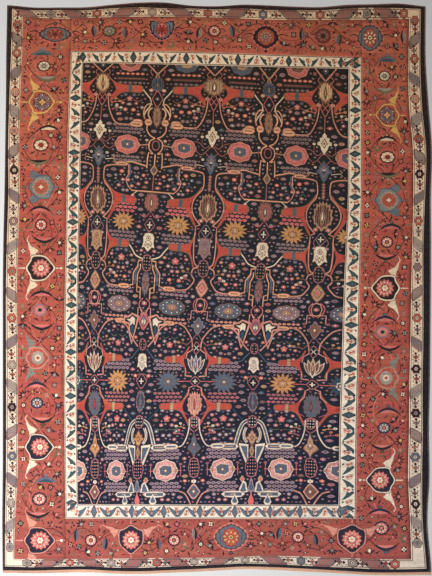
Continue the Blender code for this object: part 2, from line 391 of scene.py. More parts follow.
edge_design = []
for left, head, right, foot in ring_of_strips(0):
    upright = right - left < foot - head
    length = foot - head if upright else right - left
    start = head if upright else left
    middle = (left + right) / 2 if upright else (head + foot) / 2
    for step in range(int(length / STITCH_STEP)):
        reach = start + STITCH_STEP * step + 3 * sin(2.4 * step)
        end = reach + STITCH_LENGTH
        side = middle + 2.2 * sin(1.7 * step)
        line = [(reach, side - 0.6), (end, side - 0.4), (end, side + 0.5), (reach, side + 0.5)]
        edge_design.append((EDGE_LIGHT, [(t, s) for s, t in line] if upright else line))
dark_band = knotted("dark_edge_band", ring_of_strips(0), edge_design, NIGHT_BLUE)
dark_band.data.materials.append(
    spun_wool("dark_band_wool", streak=0.22, mottle=0.2, tuft_depth=0.7 * MM, sheen=0.2)
)
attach(dark_band, "root")
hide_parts("rug_pile")


# ---- The outer guard ----
# An ivory wool stripe, knotted with rosettes that alternate with broad slanting leaves. Three small
# blossoms part each rosette from its leaf, and a brown line of knots runs down either side.

GUARD_IVORY = yarn((218, 184, 148), (224, 198, 170), (226, 210, 192))
WALNUT = yarn((88, 54, 42), (98, 60, 52), (98, 64, 60))
INK = yarn((48, 30, 26), (40, 32, 36), (40, 36, 48))
BRICK = yarn((168, 84, 62), (180, 88, 70), (188, 92, 78))
MAUVE = yarn((130, 102, 90), (140, 112, 104), (136, 112, 112))
SLATE = yarn((98, 100, 98), (100, 108, 116), (94, 108, 124))
STONE = yarn((150, 132, 112), (160, 144, 130), (156, 146, 140))
BLUSH = yarn((196, 122, 96), (206, 134, 114), (214, 144, 128))


def petalled(across, along, petals, dent):
    """The outline of a flower: so many petals round an oval, dented between them."""
    outline = []
    for step in range(4 * petals):
        turn = tau * step / (4 * petals)
        reach = 1 - dent * (1 - cos(petals * turn)) / 2
        outline.append((across * reach * sin(turn), -along * reach * cos(turn)))
    return outline


def folded(half, across, along):
    """A whole outline from its right half, given from the top down as shares of its half size."""
    right = [(s * across, t * along) for s, t in half]
    return right + [(-s, t) for s, t in reversed(right) if s]


def scaled(outline, share):
    """The outline drawn smaller or larger about its own middle."""
    return [(s * share, t * share) for s, t in outline]


def softened(path, closed=False):
    """A smooth curve through the points of a path, with three points for each step of it."""
    count = len(path)
    spans = count if closed else count - 1
    curve = []
    for span in range(spans):
        near = [span + step if closed else min(max(span + step, 0), count - 1) for step in (-1, 0, 1, 2)]
        a, b, c, d = (path[step % count] for step in near)
        for third in (0, 1 / 3, 2 / 3):
            blend = (
                (-third + 2 * third**2 - third**3) / 2,
                (2 - 5 * third**2 + 3 * third**3) / 2,
                (third + 4 * third**2 - 3 * third**3) / 2,
                (-(third**2) + third**3) / 2,
            )
            near = [(w * s, w * t) for w, (s, t) in zip(blend, (a, b, c, d))]
            curve.append(tuple(map(sum, zip(*near))))
    return curve if closed else curve + [path[-1]]


def stem(path, width, tip=None):
    """A line of knots along a path, as an outline that may narrow or widen towards its tip."""
    tip = width if tip is None else tip
    left, right = [], []
    for step, (s, t) in enumerate(path):
        back, on = path[max(step - 1, 0)], path[min(step + 1, len(path) - 1)]
        run, rise = on[0] - back[0], on[1] - back[1]
        length = hypot(run, rise) or 1.0
        half = (width + (tip - width) * step / (len(path) - 1)) / 2
        left.append((s + rise / length * half, t - run / length * half))
        right.append((s - rise / length * half, t + run / length * half))
    return left + right[::-1]


def placed(design, across, down, turn=0, flip=1):
    """A part of the design at its place in the chart, turned clockwise by degrees or flipped over."""
    sine, cosine = sin(radians(turn)), cos(radians(turn))

    def moved(s, t):
        return across + flip * s * cosine - t * sine, down + flip * s * sine + t * cosine

    return [(wool, [moved(s, t) for s, t in shape]) for wool, shape in design]


def paired(design, across=0.0, down=0.0):
    """A part of the design and its mirror image, either side of the middle."""
    return placed(design, across, down) + placed(design, -across, down, flip=-1)


def drawn(*rows):
    """A list of motifs, each by its maker, its place unless it is charted in place, its sizes and wools."""
    design = []
    for motif, *sizes in rows:
        across, down, *sizes = sizes if isinstance(sizes[0], (int, float)) else (0, 0, *sizes)
        design += placed(motif(*sizes), across, down)
    return design


def guard_lines(ring, inset, width, wool):
    """The lines of knots along both sides of a narrow border."""
    lines = []
    for edge, sign in ((ring, 1), (ring + 1, -1)):
        left, right = CHART_COLUMNS[edge] + sign * inset, CHART_COLUMNS[-1 - edge] - sign * inset
        head, foot = CHART_ROWS[edge] + sign * inset, CHART_ROWS[-1 - edge] - sign * inset
        corners = ((left, head), (right, head), (right, foot), (left, foot), (left, head))
        lines += [(wool, stem([a, b], width)) for a, b in zip(corners, corners[1:])]
    return lines


def guard_rosette(petal_wool, heart):
    """A small six-petalled rosette that fills the guard's width."""
    return [
        (WALNUT, petalled(15.5, 14.5, 6, 0.16)),
        (petal_wool, petalled(13.5, 12.5, 6, 0.2)),
        (WALNUT, petalled(7.6, 7, 6, 0.2)),
        (heart, petalled(5.6, 5.2, 6, 0.25)),
        (INK, petalled(2.4, 2.4, 3, 0.1)),
    ]


def bud_chain(middle):
    """Three small blossoms in a row along the guard: a dark bud, a flower and a dark bud."""
    bud = [(INK, petalled(5, 4.4, 4, 0.3))]
    return [
        (WALNUT, stem([(0, -13), (0, 13)], 2.4)),
        *paired([(WALNUT, petalled(2.4, 3.2, 4, 0.3))], 8.5, 6),
        *paired([(middle, petalled(2.6, 2.6, 4, 0.3))], 8.5, -7),
        *placed(bud, 0.8, -11.5),
        *placed(bud, -0.8, 11.5),
        (WALNUT, petalled(9.4, 8, 4, 0.4)),
        (middle, petalled(5.6, 4.8, 4, 0.4)),
        (INK, petalled(2.4, 2.4, 4, 0.1)),
        *paired([(MAUVE, stem([(0, -16), (3, -20)], 3.4, 1.6))], 6),
        *paired([(INK, stem([(0, 16), (3, 20)], 3.4, 1.6))], 6),
    ]


BROAD_LEAF = softened([(-15, -23), (-2, -19), (14, -5), (15, 21), (3, 17), (-15, 4)], closed=True)


def broad_leaf(edge, leaf_wool, vein):
    """A broad slanting leaf that fills the guard from line to line, with veins along it."""
    return [
        (edge, scaled(BROAD_LEAF, 1.06)),
        (leaf_wool, BROAD_LEAF),
        *[(vein, stem([(-13, down - 9), (0, down), (13, down + 9)], 2.0)) for down in (-6.5, 1, 8.5)],
    ]


# Each side's rosettes, in the order they were knotted: the place along the side and the petals' wool.
GUARD_LEFT = (
    (80, BRICK), (168, BRICK), (286, BLUSH), (402, BLUSH), (519, INK), (671, MAUVE), (820, BRICK),
    (960, BRICK), (1100, STONE), (1226, INK), (1372, SLATE), (1512, STONE), (1640, STONE),
)
GUARD_RIGHT = (
    (60, BRICK), (166, BRICK), (286, BLUSH), (407, BRICK), (513, INK), (655, BRICK), (795, MAUVE),
    (949, BRICK), (1103, INK), (1237, INK), (1370, SLATE), (1512, INK), (1627, STONE),
)
GUARD_HEAD = (
    (137, STONE), (279, BRICK), (444, STONE), (611, BRICK), (776, SLATE), (947, BRICK), (1094, STONE),
    (1215, BRICK),
)
GUARD_FOOT = (
    (90, STONE), (212, BRICK), (340, STONE), (480, BRICK), (593, STONE), (748, STONE), (918, SLATE),
    (1069, STONE), (1187, BRICK),
)


LEAF_WOOLS = ((WALNUT, MAUVE, STONE), (STONE, MAUVE, SLATE), (WALNUT, STONE, MAUVE))
BUD_WOOLS = (BRICK, STONE, BLUSH, MAUVE)
# The leaves of the head, the foot and the corner are longer than the sides'. A rosette and a leaf
# take up these knots of the stripe to either side of their middles.
END_LEAF_LENGTH, CORNER_LEAF_LENGTH = 1.7, 1.5
ROSETTE_HALF, LEAF_HALF = 14, 20


def along_side(design, middle, upright):
    """A side's design, charted along its own middle, at its place in the whole chart."""
    if upright:
        return [(wool, [(middle + t, s) for s, t in shape]) for wool, shape in design]
    return placed(design, 0, middle)


def guard_side(rosettes, middle, upright, slant, brown=False):
    """One side of the outer guard: its rosettes, with blossoms and a broad leaf between each two."""
    design = []
    for step, (reach, wool) in enumerate(rosettes):
        heart = GUARD_IVORY if step % 3 else STONE
        design += placed(guard_rosette(wool, heart), reach, 0)
        if step + 1 == len(rosettes):
            continue
        gap = rosettes[step + 1][0] - reach
        wools = (WALNUT, MAUVE, BRICK) if brown else LEAF_WOOLS[step % 3]
        way = slant if step % 2 else -slant
        length = 1 if upright else END_LEAF_LENGTH
        leaf = [(wool, [(s, length * t) for s, t in shape]) for wool, shape in broad_leaf(*wools)]
        design += placed(leaf, reach + gap / 2, 0, 90, way)
        inset = ROSETTE_HALF + (gap / 2 - ROSETTE_HALF - LEAF_HALF) / 2
        design += placed(bud_chain(BUD_WOOLS[step % 4]), reach + inset, 1.5, 90)
        design += placed(bud_chain(BUD_WOOLS[(step + 1) % 4]), reach + gap - inset, -1.5, 90)
    return along_side(design, middle, upright)


corner_leaf = [
    (wool, [(s, CORNER_LEAF_LENGTH * t) for s, t in shape])
    for wool, shape in broad_leaf(WALNUT, MAUVE, BRICK)
]
guard_design = [
    *placed(corner_leaf, 62, 40.5, 90, -1),
    *placed(bud_chain(STONE), 110, 42, 90),
    *placed(bud_chain(BRICK), 38, 48, 0),
    *guard_side(GUARD_LEFT, middle=38, upright=True, slant=1),
    *guard_side(GUARD_RIGHT, middle=1251, upright=True, slant=-1),
    *guard_side(GUARD_HEAD, middle=40.5, upright=False, slant=1, brown=True),
    *guard_side(GUARD_FOOT, middle=1687, upright=False, slant=-1, brown=True),
    *guard_lines(1, inset=3.5, width=1.8, wool=WALNUT),
]
outer_guard = knotted("outer_guard", ring_of_strips(1), guard_design, GUARD_IVORY)
outer_guard.data.materials.append(
    spun_wool("outer_guard_wool", streak=0.1, mottle=0.12, tuft_depth=0.8 * MM, sheen=0.25)
)
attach(outer_guard, "root")
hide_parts("rug_pile")


# ---- The main border ----
# Madder-red wool, knotted with great palmettes and round rosettes in turn. Boat-shaped leaves part them,
# fine vines join them, and small garden flowers fill the red between.

BORDER_RED = yarn((172, 88, 65), (174, 84, 68), (173, 82, 72), (166, 86, 78))
DEEP_RED = yarn((128, 48, 38), (134, 44, 40), (146, 46, 46))
ROSE = yarn((190, 104, 90), (200, 108, 102), (216, 128, 120))
YELLOW = yarn((204, 154, 84), (208, 162, 96), (214, 176, 122))
IVORY = yarn((208, 180, 138), (222, 198, 168), (234, 216, 196))
NAVY = yarn((44, 40, 44), (42, 42, 56), (40, 42, 62))
TEAL = yarn((58, 76, 76), (54, 82, 92), (56, 80, 100))
LILAC = yarn((122, 102, 106), (132, 106, 116), (136, 112, 128))
OLIVE = yarn((110, 96, 62), (112, 102, 76), (104, 100, 84))
SALMON = yarn((196, 116, 90), (204, 122, 104), (214, 138, 120))
BARK = yarn((80, 44, 32), (76, 42, 38), (80, 42, 44))

PALMETTE_HALF = ((0, -43), (19, -29), (34, -15), (39, 4), (37, 28), (22, 34), (0, 46))
HORN = [(31, 31), (35, 2), (43, 17), (51, 9), (59, 19), (66, 31), (80, 41), (64, 40), (46, 33)]
LOBE = [(26, -14), (30, -34), (44, -38), (54, -26), (44, -8), (32, 14)]
LEAF = ((0, -1), (0.7, -0.35), (1, 0.2), (0.55, 0.75), (0, 1))
BUD = ((0, -1), (0.45, -0.5), (1, -0.6), (0.8, 0.1), (0.5, 0.7), (0, 1))
STAR = ((0, -1), (0.3, -0.35), (1, 0), (0.3, 0.35), (0, 1))


def petal_ring(petal_wool, edge, count, reach, wide, long, squash=1.0):
    """A ring of petals round a flower's heart, each with a dark edge."""
    leaf = folded(LEAF, wide, long)
    ring = []
    for petal in range(count):
        turn = 360 / count * (petal + 0.5)
        place = (reach * sin(radians(turn)), -reach * squash * cos(radians(turn)))
        ring += placed([(edge, scaled(leaf, 1.35)), (petal_wool, leaf)], *place, turn)
    return ring


def palmette_ends(wool, bud):
    """The stem at a palmette's base and the bud at its tip."""
    return [
        (wool, stem([(0, 44), (0, 70)], 4.6, 2.2)),
        (wool, stem([(0, -40), (0, -58)], 3.4, 2.2)),
        *placed([(INK, folded(BUD, 6.6, 7)), (bud, folded(BUD, 4.8, 5.6))], 0, -60),
    ]


def great_palmette(edge, ring, flower, heart, share, horns=HORN, ground=BARK):
    """A palmette about 30 centimetres across, tip upwards: a coloured edge, a dark ring and a serrated
    flower, with a pair of horns at its base."""
    body = softened(folded(PALMETTE_HALF, 1, 1), closed=True)
    horn = softened(horns, closed=True)
    tendril = stem(softened([(66, 33), (84, 44), (96, 38)]), 3.4, 1.8)
    return [
        *palmette_ends(edge, heart),
        *paired([(BARK, scaled(horn, 1.02)), (edge, horn)]),
        *paired([(edge, tendril)]),
        (BARK, scaled(body, 1.04)),
        (edge, body),
        (ring, scaled(body, share)),
        (ground, petalled(31, 32, 13, 0.16)),
        (flower, petalled(27, 28, 13, 0.22)),
        *petal_ring(heart, DEEP_RED, 11, 18, 1.6, 3.8),
        (DEEP_RED, petalled(12.5, 12.5, 8, 0.15)),
        (heart, petalled(10, 10, 6, 0.22)),
        (flower, petalled(3.2, 3.2, 4, 0.3)),
    ]


def petalled_palmette(edge, ground, petal_wool, heart):
    """A palmette with a ring of long petals round a four-lobed heart, in place of the usual one."""
    return [
        *great_palmette(edge, ground, ground, heart, 0.88)[:-5],
        *petal_ring(petal_wool, BARK, 12, 20, 3.6, 9.5),
        *petal_ring(IVORY, petal_wool, 6, 24, 1.8, 2.6),
        (BARK, petalled(14, 14, 4, 0.45)),
        (heart, petalled(12, 12, 4, 0.5)),
        (SALMON, petalled(5, 5, 4, 0.2)),
    ]


def lobed_palmette(edge, rim, flower):
    """A soft palmette with two pointed lobes, a rim and a white cross for its heart."""
    design = great_palmette(edge, rim, flower, OLIVE, 0.9, LOBE, STONE)
    cross = [stem([(0, -8), (0, 8)], 4.6), stem([(-7, 0), (7, 0)], 4.6)]
    return [*design[:-2], (flower, petalled(11, 11, 8, 0.2)), *[(IVORY, bar) for bar in cross]]


def faint_palmette(line_wool, rim, heart):
    """A palmette drawn in thin lines on the border's red round one sage flower."""
    body = softened(folded(PALMETTE_HALF, 1, 1), closed=True)
    design = palmette_ends(line_wool, rim) + paired([(line_wool, softened(HORN, closed=True))])
    design += [(line_wool, body), (SALMON, scaled(body, 0.93)), (BORDER_RED, scaled(body, 0.82))]
    design += paired([(line_wool, stem([(14, 30), (4, 20)], 2.2)), (ROSE, stem([(24, 18), (40, 18)], 2.2))])
    return design + [
        (rim, petalled(24, 23, 8, 0.12)),
        (STONE, petalled(17, 16, 8, 0.15)),
        (heart, petalled(12, 12, 8, 0.15)),
        (ROSE, petalled(7, 8, 4, 0.3)),
        (INK, petalled(2.8, 4, 4, 0.3)),
    ]


CLOUD = ((0, -1), (0.45, -0.86), (0.8, -0.5), (1, 0.06), (0.74, 0.62), (0.34, 0.92), (0, 1.08))
BOWL = ((0, -0.62), (0.5, -0.86), (0.96, -0.92), (1, -0.3), (0.82, 0.36), (0.4, 0.84), (0, 1))


def cloud_palmette(edge, side, flower, heart, across, along, share, half=CLOUD):
    """A wide palmette of the head's and foot's borders, lying along them, with a toothed edge."""
    shape = softened(folded(half, across, along), closed=True)
    outer, inner = scaled(shape, 1.05), scaled(shape, 0.95)
    teeth = [(inner if step % 2 else outer)[step] for step in range(len(shape))]
    arm = softened([(across - 4, -4), (across + 12, -9), (across + 28, -4)])
    bar = [(0.62 * across, -0.5 * along), (0.68 * across, 0.5 * along)]
    return [
        *placed([(INK, folded(BUD, 6.6, 7.4)), (side, folded(BUD, 3, 3.6))], 0, -along - 10),
        *placed([(INK, folded(BUD, 5.4, 6))], 0, along + 10, 180),
        *paired([(INK, stem(arm, 4.4, 2))]),
        (ROSE, [(1.07 * s, 1.1 * t) for s, t in shape]),
        (edge, teeth),
        (side, scaled(shape, share)),
        *paired([(edge, stem(bar, 2.6))]),
        (DEEP_RED, petalled(0.56 * across, 0.84 * along, 11, 0.16)),
        (flower, petalled(0.5 * across, 0.75 * along, 11, 0.18)),
        *petal_ring(heart, DEEP_RED, 9, 0.4 * across, 2.6, 5.5, along / across),
        (DEEP_RED, petalled(10.5, 9.5, 6, 0.15)),
        (heart, petalled(8, 7, 6, 0.2)),
        (INK, petalled(3.4, 3.4, 4, 0.3)),
    ]


def round_rosette(edge, ring, petal_wool, heart, across=21, along=17):
    """A round rosette of eight petals, a dark line round it."""
    return [
        (edge, petalled(across, along, 10, 0.08)),
        (ring, petalled(0.8 * across, 0.78 * along, 8, 0.12)),
        *petal_ring(petal_wool, ring, 8, 0.5 * across, 2.4, 4.2, along / across),
        (edge, petalled(0.36 * across, 0.38 * along, 6, 0.1)),
        (heart, petalled(0.27 * across, 0.28 * along, 5, 0.25)),
    ]


def boat_leaf(outer, inner, trim, share):
    """A boat-shaped leaf, arched upwards: dark outside, light inside, a small flower on its back."""
    arch = softened([(-34, 9), (-24, -2), (0, -9), (24, -2), (34, 9), (16, 3), (0, 0), (-16, 3)], closed=True)
    hollow = softened([(-25, 6), (-14, 1), (0, -2), (14, 1), (25, 6), (13, 7), (0, 7), (-13, 7)], closed=True)
    leaf = [
        (BARK, stem(softened([(-40, 15), (-24, -1), (0, -9), (24, -1), (40, 15)]), 2.6)),
        (outer, arch),
        (inner, hollow),
        *placed([(outer, folded(BUD, 7, 6.4)), (trim, folded(BUD, 4.4, 4.2))], 0, -14),
        *paired([(trim, petalled(2.8, 2.4, 4, 0.2))], 15, -9),
    ]
    return [(wool, scaled(shape, share)) for wool, shape in leaf]


def sickle(outer, inner):
    """One of the upright leaves beside the head's and foot's rosettes, bowed to its left."""
    return [
        (outer, softened([(2, -21), (-7, -8), (-8, 6), (-2, 19), (1, 8), (0, -8)], closed=True)),
        (inner, softened([(3, -17), (-1, -6), (0, 8), (-1, 17), (7, 8), (7, -8)], closed=True)),
        (WALNUT, stem([(3, -12), (3, 12)], 1.6)),
    ]


def garden_flower(kind, light, dark):
    """One of the small flowers between the great ones: star, fan, tulip, pair of leaves or rosette."""
    if kind == 0:
        shape = folded(STAR, 12.5, 12.5)
        return [
            (dark, shape),
            *placed([(dark, scaled(shape, 0.8))], 0, 0, 45),
            (light, petalled(5.4, 5.4, 5, 0.25)),
            (dark, petalled(1.8, 1.8, 4, 0.1)),
        ]
    if kind == 1:
        ray = [(dark, folded(LEAF, 2.8, 7.5))]
        fan = []
        for turn in (-1.3, -0.65, 0, 0.65, 1.3):
            fan += placed(ray, 12 * sin(turn), 2 - 12 * cos(turn), degrees(turn))
        return [
            (BARK, stem([(0, 18), (0, 2)], 2.2)),
            *fan,
            (dark, petalled(7.4, 7, 5, 0.2)),
            (light, petalled(5.2, 5, 5, 0.25)),
        ]
    if kind == 2:
        return [
            (BARK, stem([(0, 16), (0, 4)], 2.2)),
            *paired(placed([(dark, folded(LEAF, 3.4, 9))], 9.5, 4, 58)),
            (dark, folded(BUD, 7.6, 9)),
            (light, folded(BUD, 5, 6.4)),
        ]
    if kind == 3:
        bud = [(dark, petalled(4.2, 3.8, 4, 0.4))]
        return [
            (BARK, stem([(0, -16), (0, 16)], 2.0)),
            *placed(bud, 0, -13),
            *bud,
            *placed(bud, 0, 13),
            (light, petalled(3, 3, 4, 0.2)),
            *paired([(dark, petalled(2.6, 3.4, 4, 0.2))], 6.5, 6),
        ]
    return [
        (dark, petalled(10.5, 9.5, 4, 0.35)),
        *placed([(light, petalled(7.4, 6.8, 4, 0.4))], 0, 0, 45),
        (dark, petalled(2.6, 2.6, 4, 0.1)),
    ]


SAGE = yarn((116, 112, 98), (118, 122, 114), (140, 138, 120))
PALMETTES = {
    "yellow": petalled_palmette(YELLOW, BRICK, LILAC, YELLOW),
    "slate": lobed_palmette(SLATE, SAGE, BRICK),
    "ivory": great_palmette(IVORY, INK, ROSE, IVORY, 0.89),
    "green": faint_palmette(SAGE, STONE, IVORY),
    "navy": great_palmette(IVORY, NAVY, ROSE, IVORY, 0.92),
    "flame": great_palmette(BLUSH, NAVY, ROSE, IVORY, 0.91),
    "dusk": cloud_palmette(BARK, SLATE, BRICK, WALNUT, 50, 25, 0.84),
    "bowl": cloud_palmette(INK, SLATE, ROSE, DEEP_RED, 37, 31, 0.86, BOWL),
    "ink": cloud_palmette(INK, BRICK, BRICK, STONE, 39, 34, 0.72),
    "moss": cloud_palmette(BARK, SLATE, BRICK, IVORY, 43, 37, 0.9),
    "blue": cloud_palmette(WALNUT, SLATE, BRICK, YELLOW, 50, 38, 0.9),
}
ROSETTES = {
    "white": round_rosette(INK, IVORY, STONE, STONE),
    "oval": round_rosette(BARK, IVORY, BLUSH, DEEP_RED, 25, 20),
    "pink": round_rosette(INK, ROSE, IVORY, BRICK, 20, 19),
    "lilac": round_rosette(LILAC, ROSE, BLUSH, INK, 22, 19),
    "slate": round_rosette(NAVY, SLATE, IVORY, ROSE, 23, 20),
    "navy": round_rosette(NAVY, ROSE, IVORY, ROSE, 23, 21),
    "olive": round_rosette(BARK, OLIVE, STONE, STONE, 23, 19),
    "maroon": round_rosette(WALNUT, DEEP_RED, MAUVE, INK, 25, 24),
}
BOAT_DYES = {
    "slate": (SLATE, TEAL, LILAC),
    "green": (OLIVE, STONE, ROSE),
    "ivory": (INK, IVORY, YELLOW),
    "thin": (OLIVE, INK, STONE),
    "pink": (INK, ROSE, OLIVE),
    "navy": (NAVY, ROSE, SLATE),
}

# The border's motifs in the order of the chart: dyes, across and down. A boat's last number says which
# way it arches, and an upright leaf has only its place and the way that it bows.
LEFT_PALMETTES = (
    ("yellow", 119, 316), ("slate", 119, 569), ("ivory", 125, 811), ("green", 117, 1079),
    ("navy", 122, 1345), ("flame", 126, 1620),
)
LEFT_ROSETTES = (
    ("white", 120, 208), ("oval", 119, 444), ("pink", 122, 682), ("lilac", 123, 936), ("slate", 114, 1213),
    ("navy", 122, 1500),
)
LEFT_BOATS = (
    ("slate", 113, 168, 1), ("green", 131, 246, -1), ("ivory", 140, 392, 1), ("thin", 112, 495, -1),
    ("pink", 117, 634, 1), ("pink", 133, 727, -1), ("pink", 129, 887, 1), ("pink", 129, 987, -1),
    ("navy", 113, 1159, 1), ("pink", 130, 1264, -1), ("slate", 140, 1443, 1), ("pink", 119, 1546, -1),
)
RIGHT_PALMETTES = (
    ("yellow", 1159, 336), ("slate", 1159, 593), ("ivory", 1153, 859), ("green", 1162, 1131),
    ("navy", 1148, 1440),
)
RIGHT_ROSETTES = (
    ("white", 1153, 218), ("oval", 1155, 463), ("pink", 1156, 720), ("lilac", 1148, 992),
    ("slate", 1158, 1282), ("navy", 1150, 1584),
)
RIGHT_BOATS = (
    ("slate", 1162, 168, 1), ("green", 1154, 262, -1), ("ivory", 1155, 407, 1), ("thin", 1156, 517, -1),
    ("navy", 1168, 673, 1), ("pink", 1154, 765, -1), ("navy", 1155, 952, 1), ("pink", 1170, 1040, -1),
    ("navy", 1170, 1230, 1), ("pink", 1153, 1340, -1), ("navy", 1146, 1535, 1), ("navy", 1162, 1640, -1),
)
HEAD_PALMETTES = (("dusk", 150, 106), ("bowl", 474, 96), ("ink", 785, 108), ("moss", 1104, 106))
HEAD_ROSETTES = (("olive", 317, 99), ("pink", 631, 96), ("maroon", 956, 102))
HEAD_LEAVES = (
    (271, 97, -1), (364, 104, 1), (585, 103, -1), (684, 95, 1), (893, 98, -1), (1004, 112, 1),
    (1214, 105, -1),
)
FOOT_PALMETTES = (("flame", 401, 1620), ("blue", 705, 1613), ("flame", 1067, 1618))
FOOT_ROSETTES = (("pink", 279, 1620), ("pink", 532, 1621), ("pink", 909, 1614))
FOOT_LEAVES = (
    (234, 1605, -1), (322, 1630, 1), (486, 1632, -1), (594, 1602, 1), (851, 1603, -1), (962, 1622, 1),
)

# Where the swaying vines start and end, and the radians of their wave for each knot.
SIDE_VINES, END_VINES = (185, 1545, 0.0243), (90, 1200, 0.031)
border_design = []


def vine_ring(across, down, wide, tall, wool, width):
    """A thin vine that winds in an oval round a flower, scalloped as it was knotted."""
    ring = []
    for step in range(25):
        turn = tau * step / 24
        scallop = wide * (1 + 0.05 * cos(step))
        ring.append((across + scallop * sin(turn), down - tall * cos(turn)))
    return (wool, stem(ring, width))


def weaving(start, end, rate, middle, sway, wool, width=2.4, upright=True):
    """A vine that sways to either side of the border's middle as it runs along."""
    path = [(reach, middle + sway * sin(rate * reach)) for reach in range(start, end, 14)]
    return (wool, stem([(t, s) for s, t in path] if upright else path, width))


for middle, rosettes in ((122, LEFT_ROSETTES), (1154, RIGHT_ROSETTES)):
    for sway, wool in ((52, BARK), (-52, WALNUT), (30, ROSE), (-34, DEEP_RED)):
        border_design.append(weaving(*SIDE_VINES, middle, sway, wool))
    for _, across, down in rosettes:
        border_design.append(vine_ring(across, down, 57, 48, BARK, 2.8))
        border_design.append(vine_ring(across, down, 52, 43, ROSE, 2.0))
for middle, rosettes in ((102, HEAD_ROSETTES), (1618, FOOT_ROSETTES)):
    for sway, wool in ((34, BARK), (-34, WALNUT), (16, DEEP_RED)):
        border_design.append(weaving(*END_VINES, middle, sway, wool, upright=False))
    for _, across, down in rosettes:
        border_design.append(vine_ring(across, down, 36, 32, BARK, 2.6))
vines = len(border_design)

# The sizes of the boats, and of the motifs in the quieter dyes, as shares of how they are drawn.
SMALL_BOAT, BOAT = 0.86, 0.96
QUIET_SIZE, QUIET_DYES = 0.9, ("yellow", "slate", "green")
for boats in (LEFT_BOATS, RIGHT_BOATS):
    for dyes, across, down, arch in boats:
        share = SMALL_BOAT if dyes == "ivory" else BOAT
        border_design += placed(boat_leaf(*BOAT_DYES[dyes], share), across, down, 0 if arch > 0 else 180)
for step, (across, down, arch) in enumerate(HEAD_LEAVES + FOOT_LEAVES):
    wools = ((INK, SLATE), (BARK, SLATE), (INK, STONE), (NAVY, SLATE))[step % 4]
    border_design += placed(sickle(*wools), across, down, 8 * (step % 3) - 8, -arch)
# The palmettes of the sides point inwards or outwards, and the slate ones against the rest.
for motifs, dressing, turn in (
    (LEFT_ROSETTES + RIGHT_ROSETTES + HEAD_ROSETTES + FOOT_ROSETTES, ROSETTES, 0),
    (LEFT_PALMETTES, PALMETTES, 90),
    (RIGHT_PALMETTES, PALMETTES, -90),
    (HEAD_PALMETTES, PALMETTES, 0),
    (FOOT_PALMETTES, PALMETTES, 180),
):
    for dyes, across, down in motifs:
        size = QUIET_SIZE if dyes in QUIET_DYES else 1.0
        motif = [(wool, scaled(shape, size)) for wool, shape in dressing[dyes]]
        border_design += placed(motif, across, down, -turn if dyes == "slate" else turn)


def knots_taken(design):
    """The knots of the chart that a design already fills, as rows of true or false."""
    taken = np.zeros((FOOT + 60, RIGHT + 60), bool)
    for _, outline in design:
        corners = np.array(outline)
        left, head = np.maximum(np.floor(corners.min(axis=0)).astype(int), 0)
        right, foot = np.ceil(corners.max(axis=0)).astype(int) + 1
        u, v = np.meshgrid(np.arange(left, right) + 0.5, np.arange(head, foot) + 0.5)
        inside = np.zeros(u.shape, bool)
        for (a, b), (c, d) in zip(corners, np.roll(corners, -1, axis=0)):
            if b != d:
                inside ^= ((b > v) != (d > v)) & (u < (c - a) * (v - b) / (d - b) + a)
        taken[head:foot, left:right] |= inside[: taken.shape[0] - head, : taken.shape[1] - left]
    return taken


def filled_in(taken, strips, flower, wide, tall, most, step):
    """Small flowers wherever a strip has room for one, in rows from the head down, no more than most."""
    design, count = [], 0
    for left, head, right, foot in strips:
        for row, down in enumerate(range(head + tall + 2, foot - tall - 1, step)):
            for across in range(left + wide + 2 + row % 3, right - wide - 1, 3):
                room = taken[down - tall : down + tall, across - wide : across + wide]
                if room.any() or count >= most:
                    continue
                room[:] = True
                design += placed(flower(count), across, down)
                count += 1
    return design


FLOWER_WOOLS = (
    (STONE, INK), (ROSE, BARK), (IVORY, INK), (ROSE, INK), (STONE, WALNUT), (SAGE, INK), (IVORY, BARK),
    (ROSE, OLIVE), (YELLOW, INK),
)
SPRIG_WOOLS = (BARK, INK, OLIVE, WALNUT, DEEP_RED, INK, BARK)


def margin_flower(count):
    """The larger small flowers, in the turn that the weaver took them."""
    return placed(garden_flower((3 * count) % 5, *FLOWER_WOOLS[(4 * count) % 9]), 0, 0, 37 * count % 360)


def sprig(count):
    """A short sprig with a bud, no longer than a thumb."""
    wool = SPRIG_WOOLS[count % 7]
    sprig = [(wool, stem(softened([(-8, 2), (0, -1.6), (8, 2)]), 2.4)), (wool, petalled(4, 3.4, 3, 0.3))]
    if count % 3 == 0:
        sprig += [(IVORY if count % 2 else ROSE, petalled(2, 1.8, 3, 0.2))]
    return placed(sprig, 0, 0, 67 * count % 180)


border_strips = ring_of_strips(2)
taken = knots_taken(border_design[vines:])
border_design += filled_in(taken, border_strips, margin_flower, wide=14, tall=14, most=420, step=5)
border_design += filled_in(taken, border_strips, sprig, wide=8, tall=7, most=900, step=4)

for name, strips in (("border_sides", border_strips[:2]), ("border_ends", border_strips[2:])):
    main_border = knotted(name, strips, border_design, BORDER_RED)
    main_border.data.materials.append(
        spun_wool(name + "_wool", streak=0.14, mottle=0.16, tuft_depth=0.9 * MM, sheen=0.25)
    )
    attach(main_border, "root")
    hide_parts("rug_pile")




# ---- The inner guard ----
# A second ivory wool stripe, next to the field. Dark spurred leaves lean one way and the other across
# it. Between them tan twigs curl over small madder petals, and a lozenge follows every third leaf.

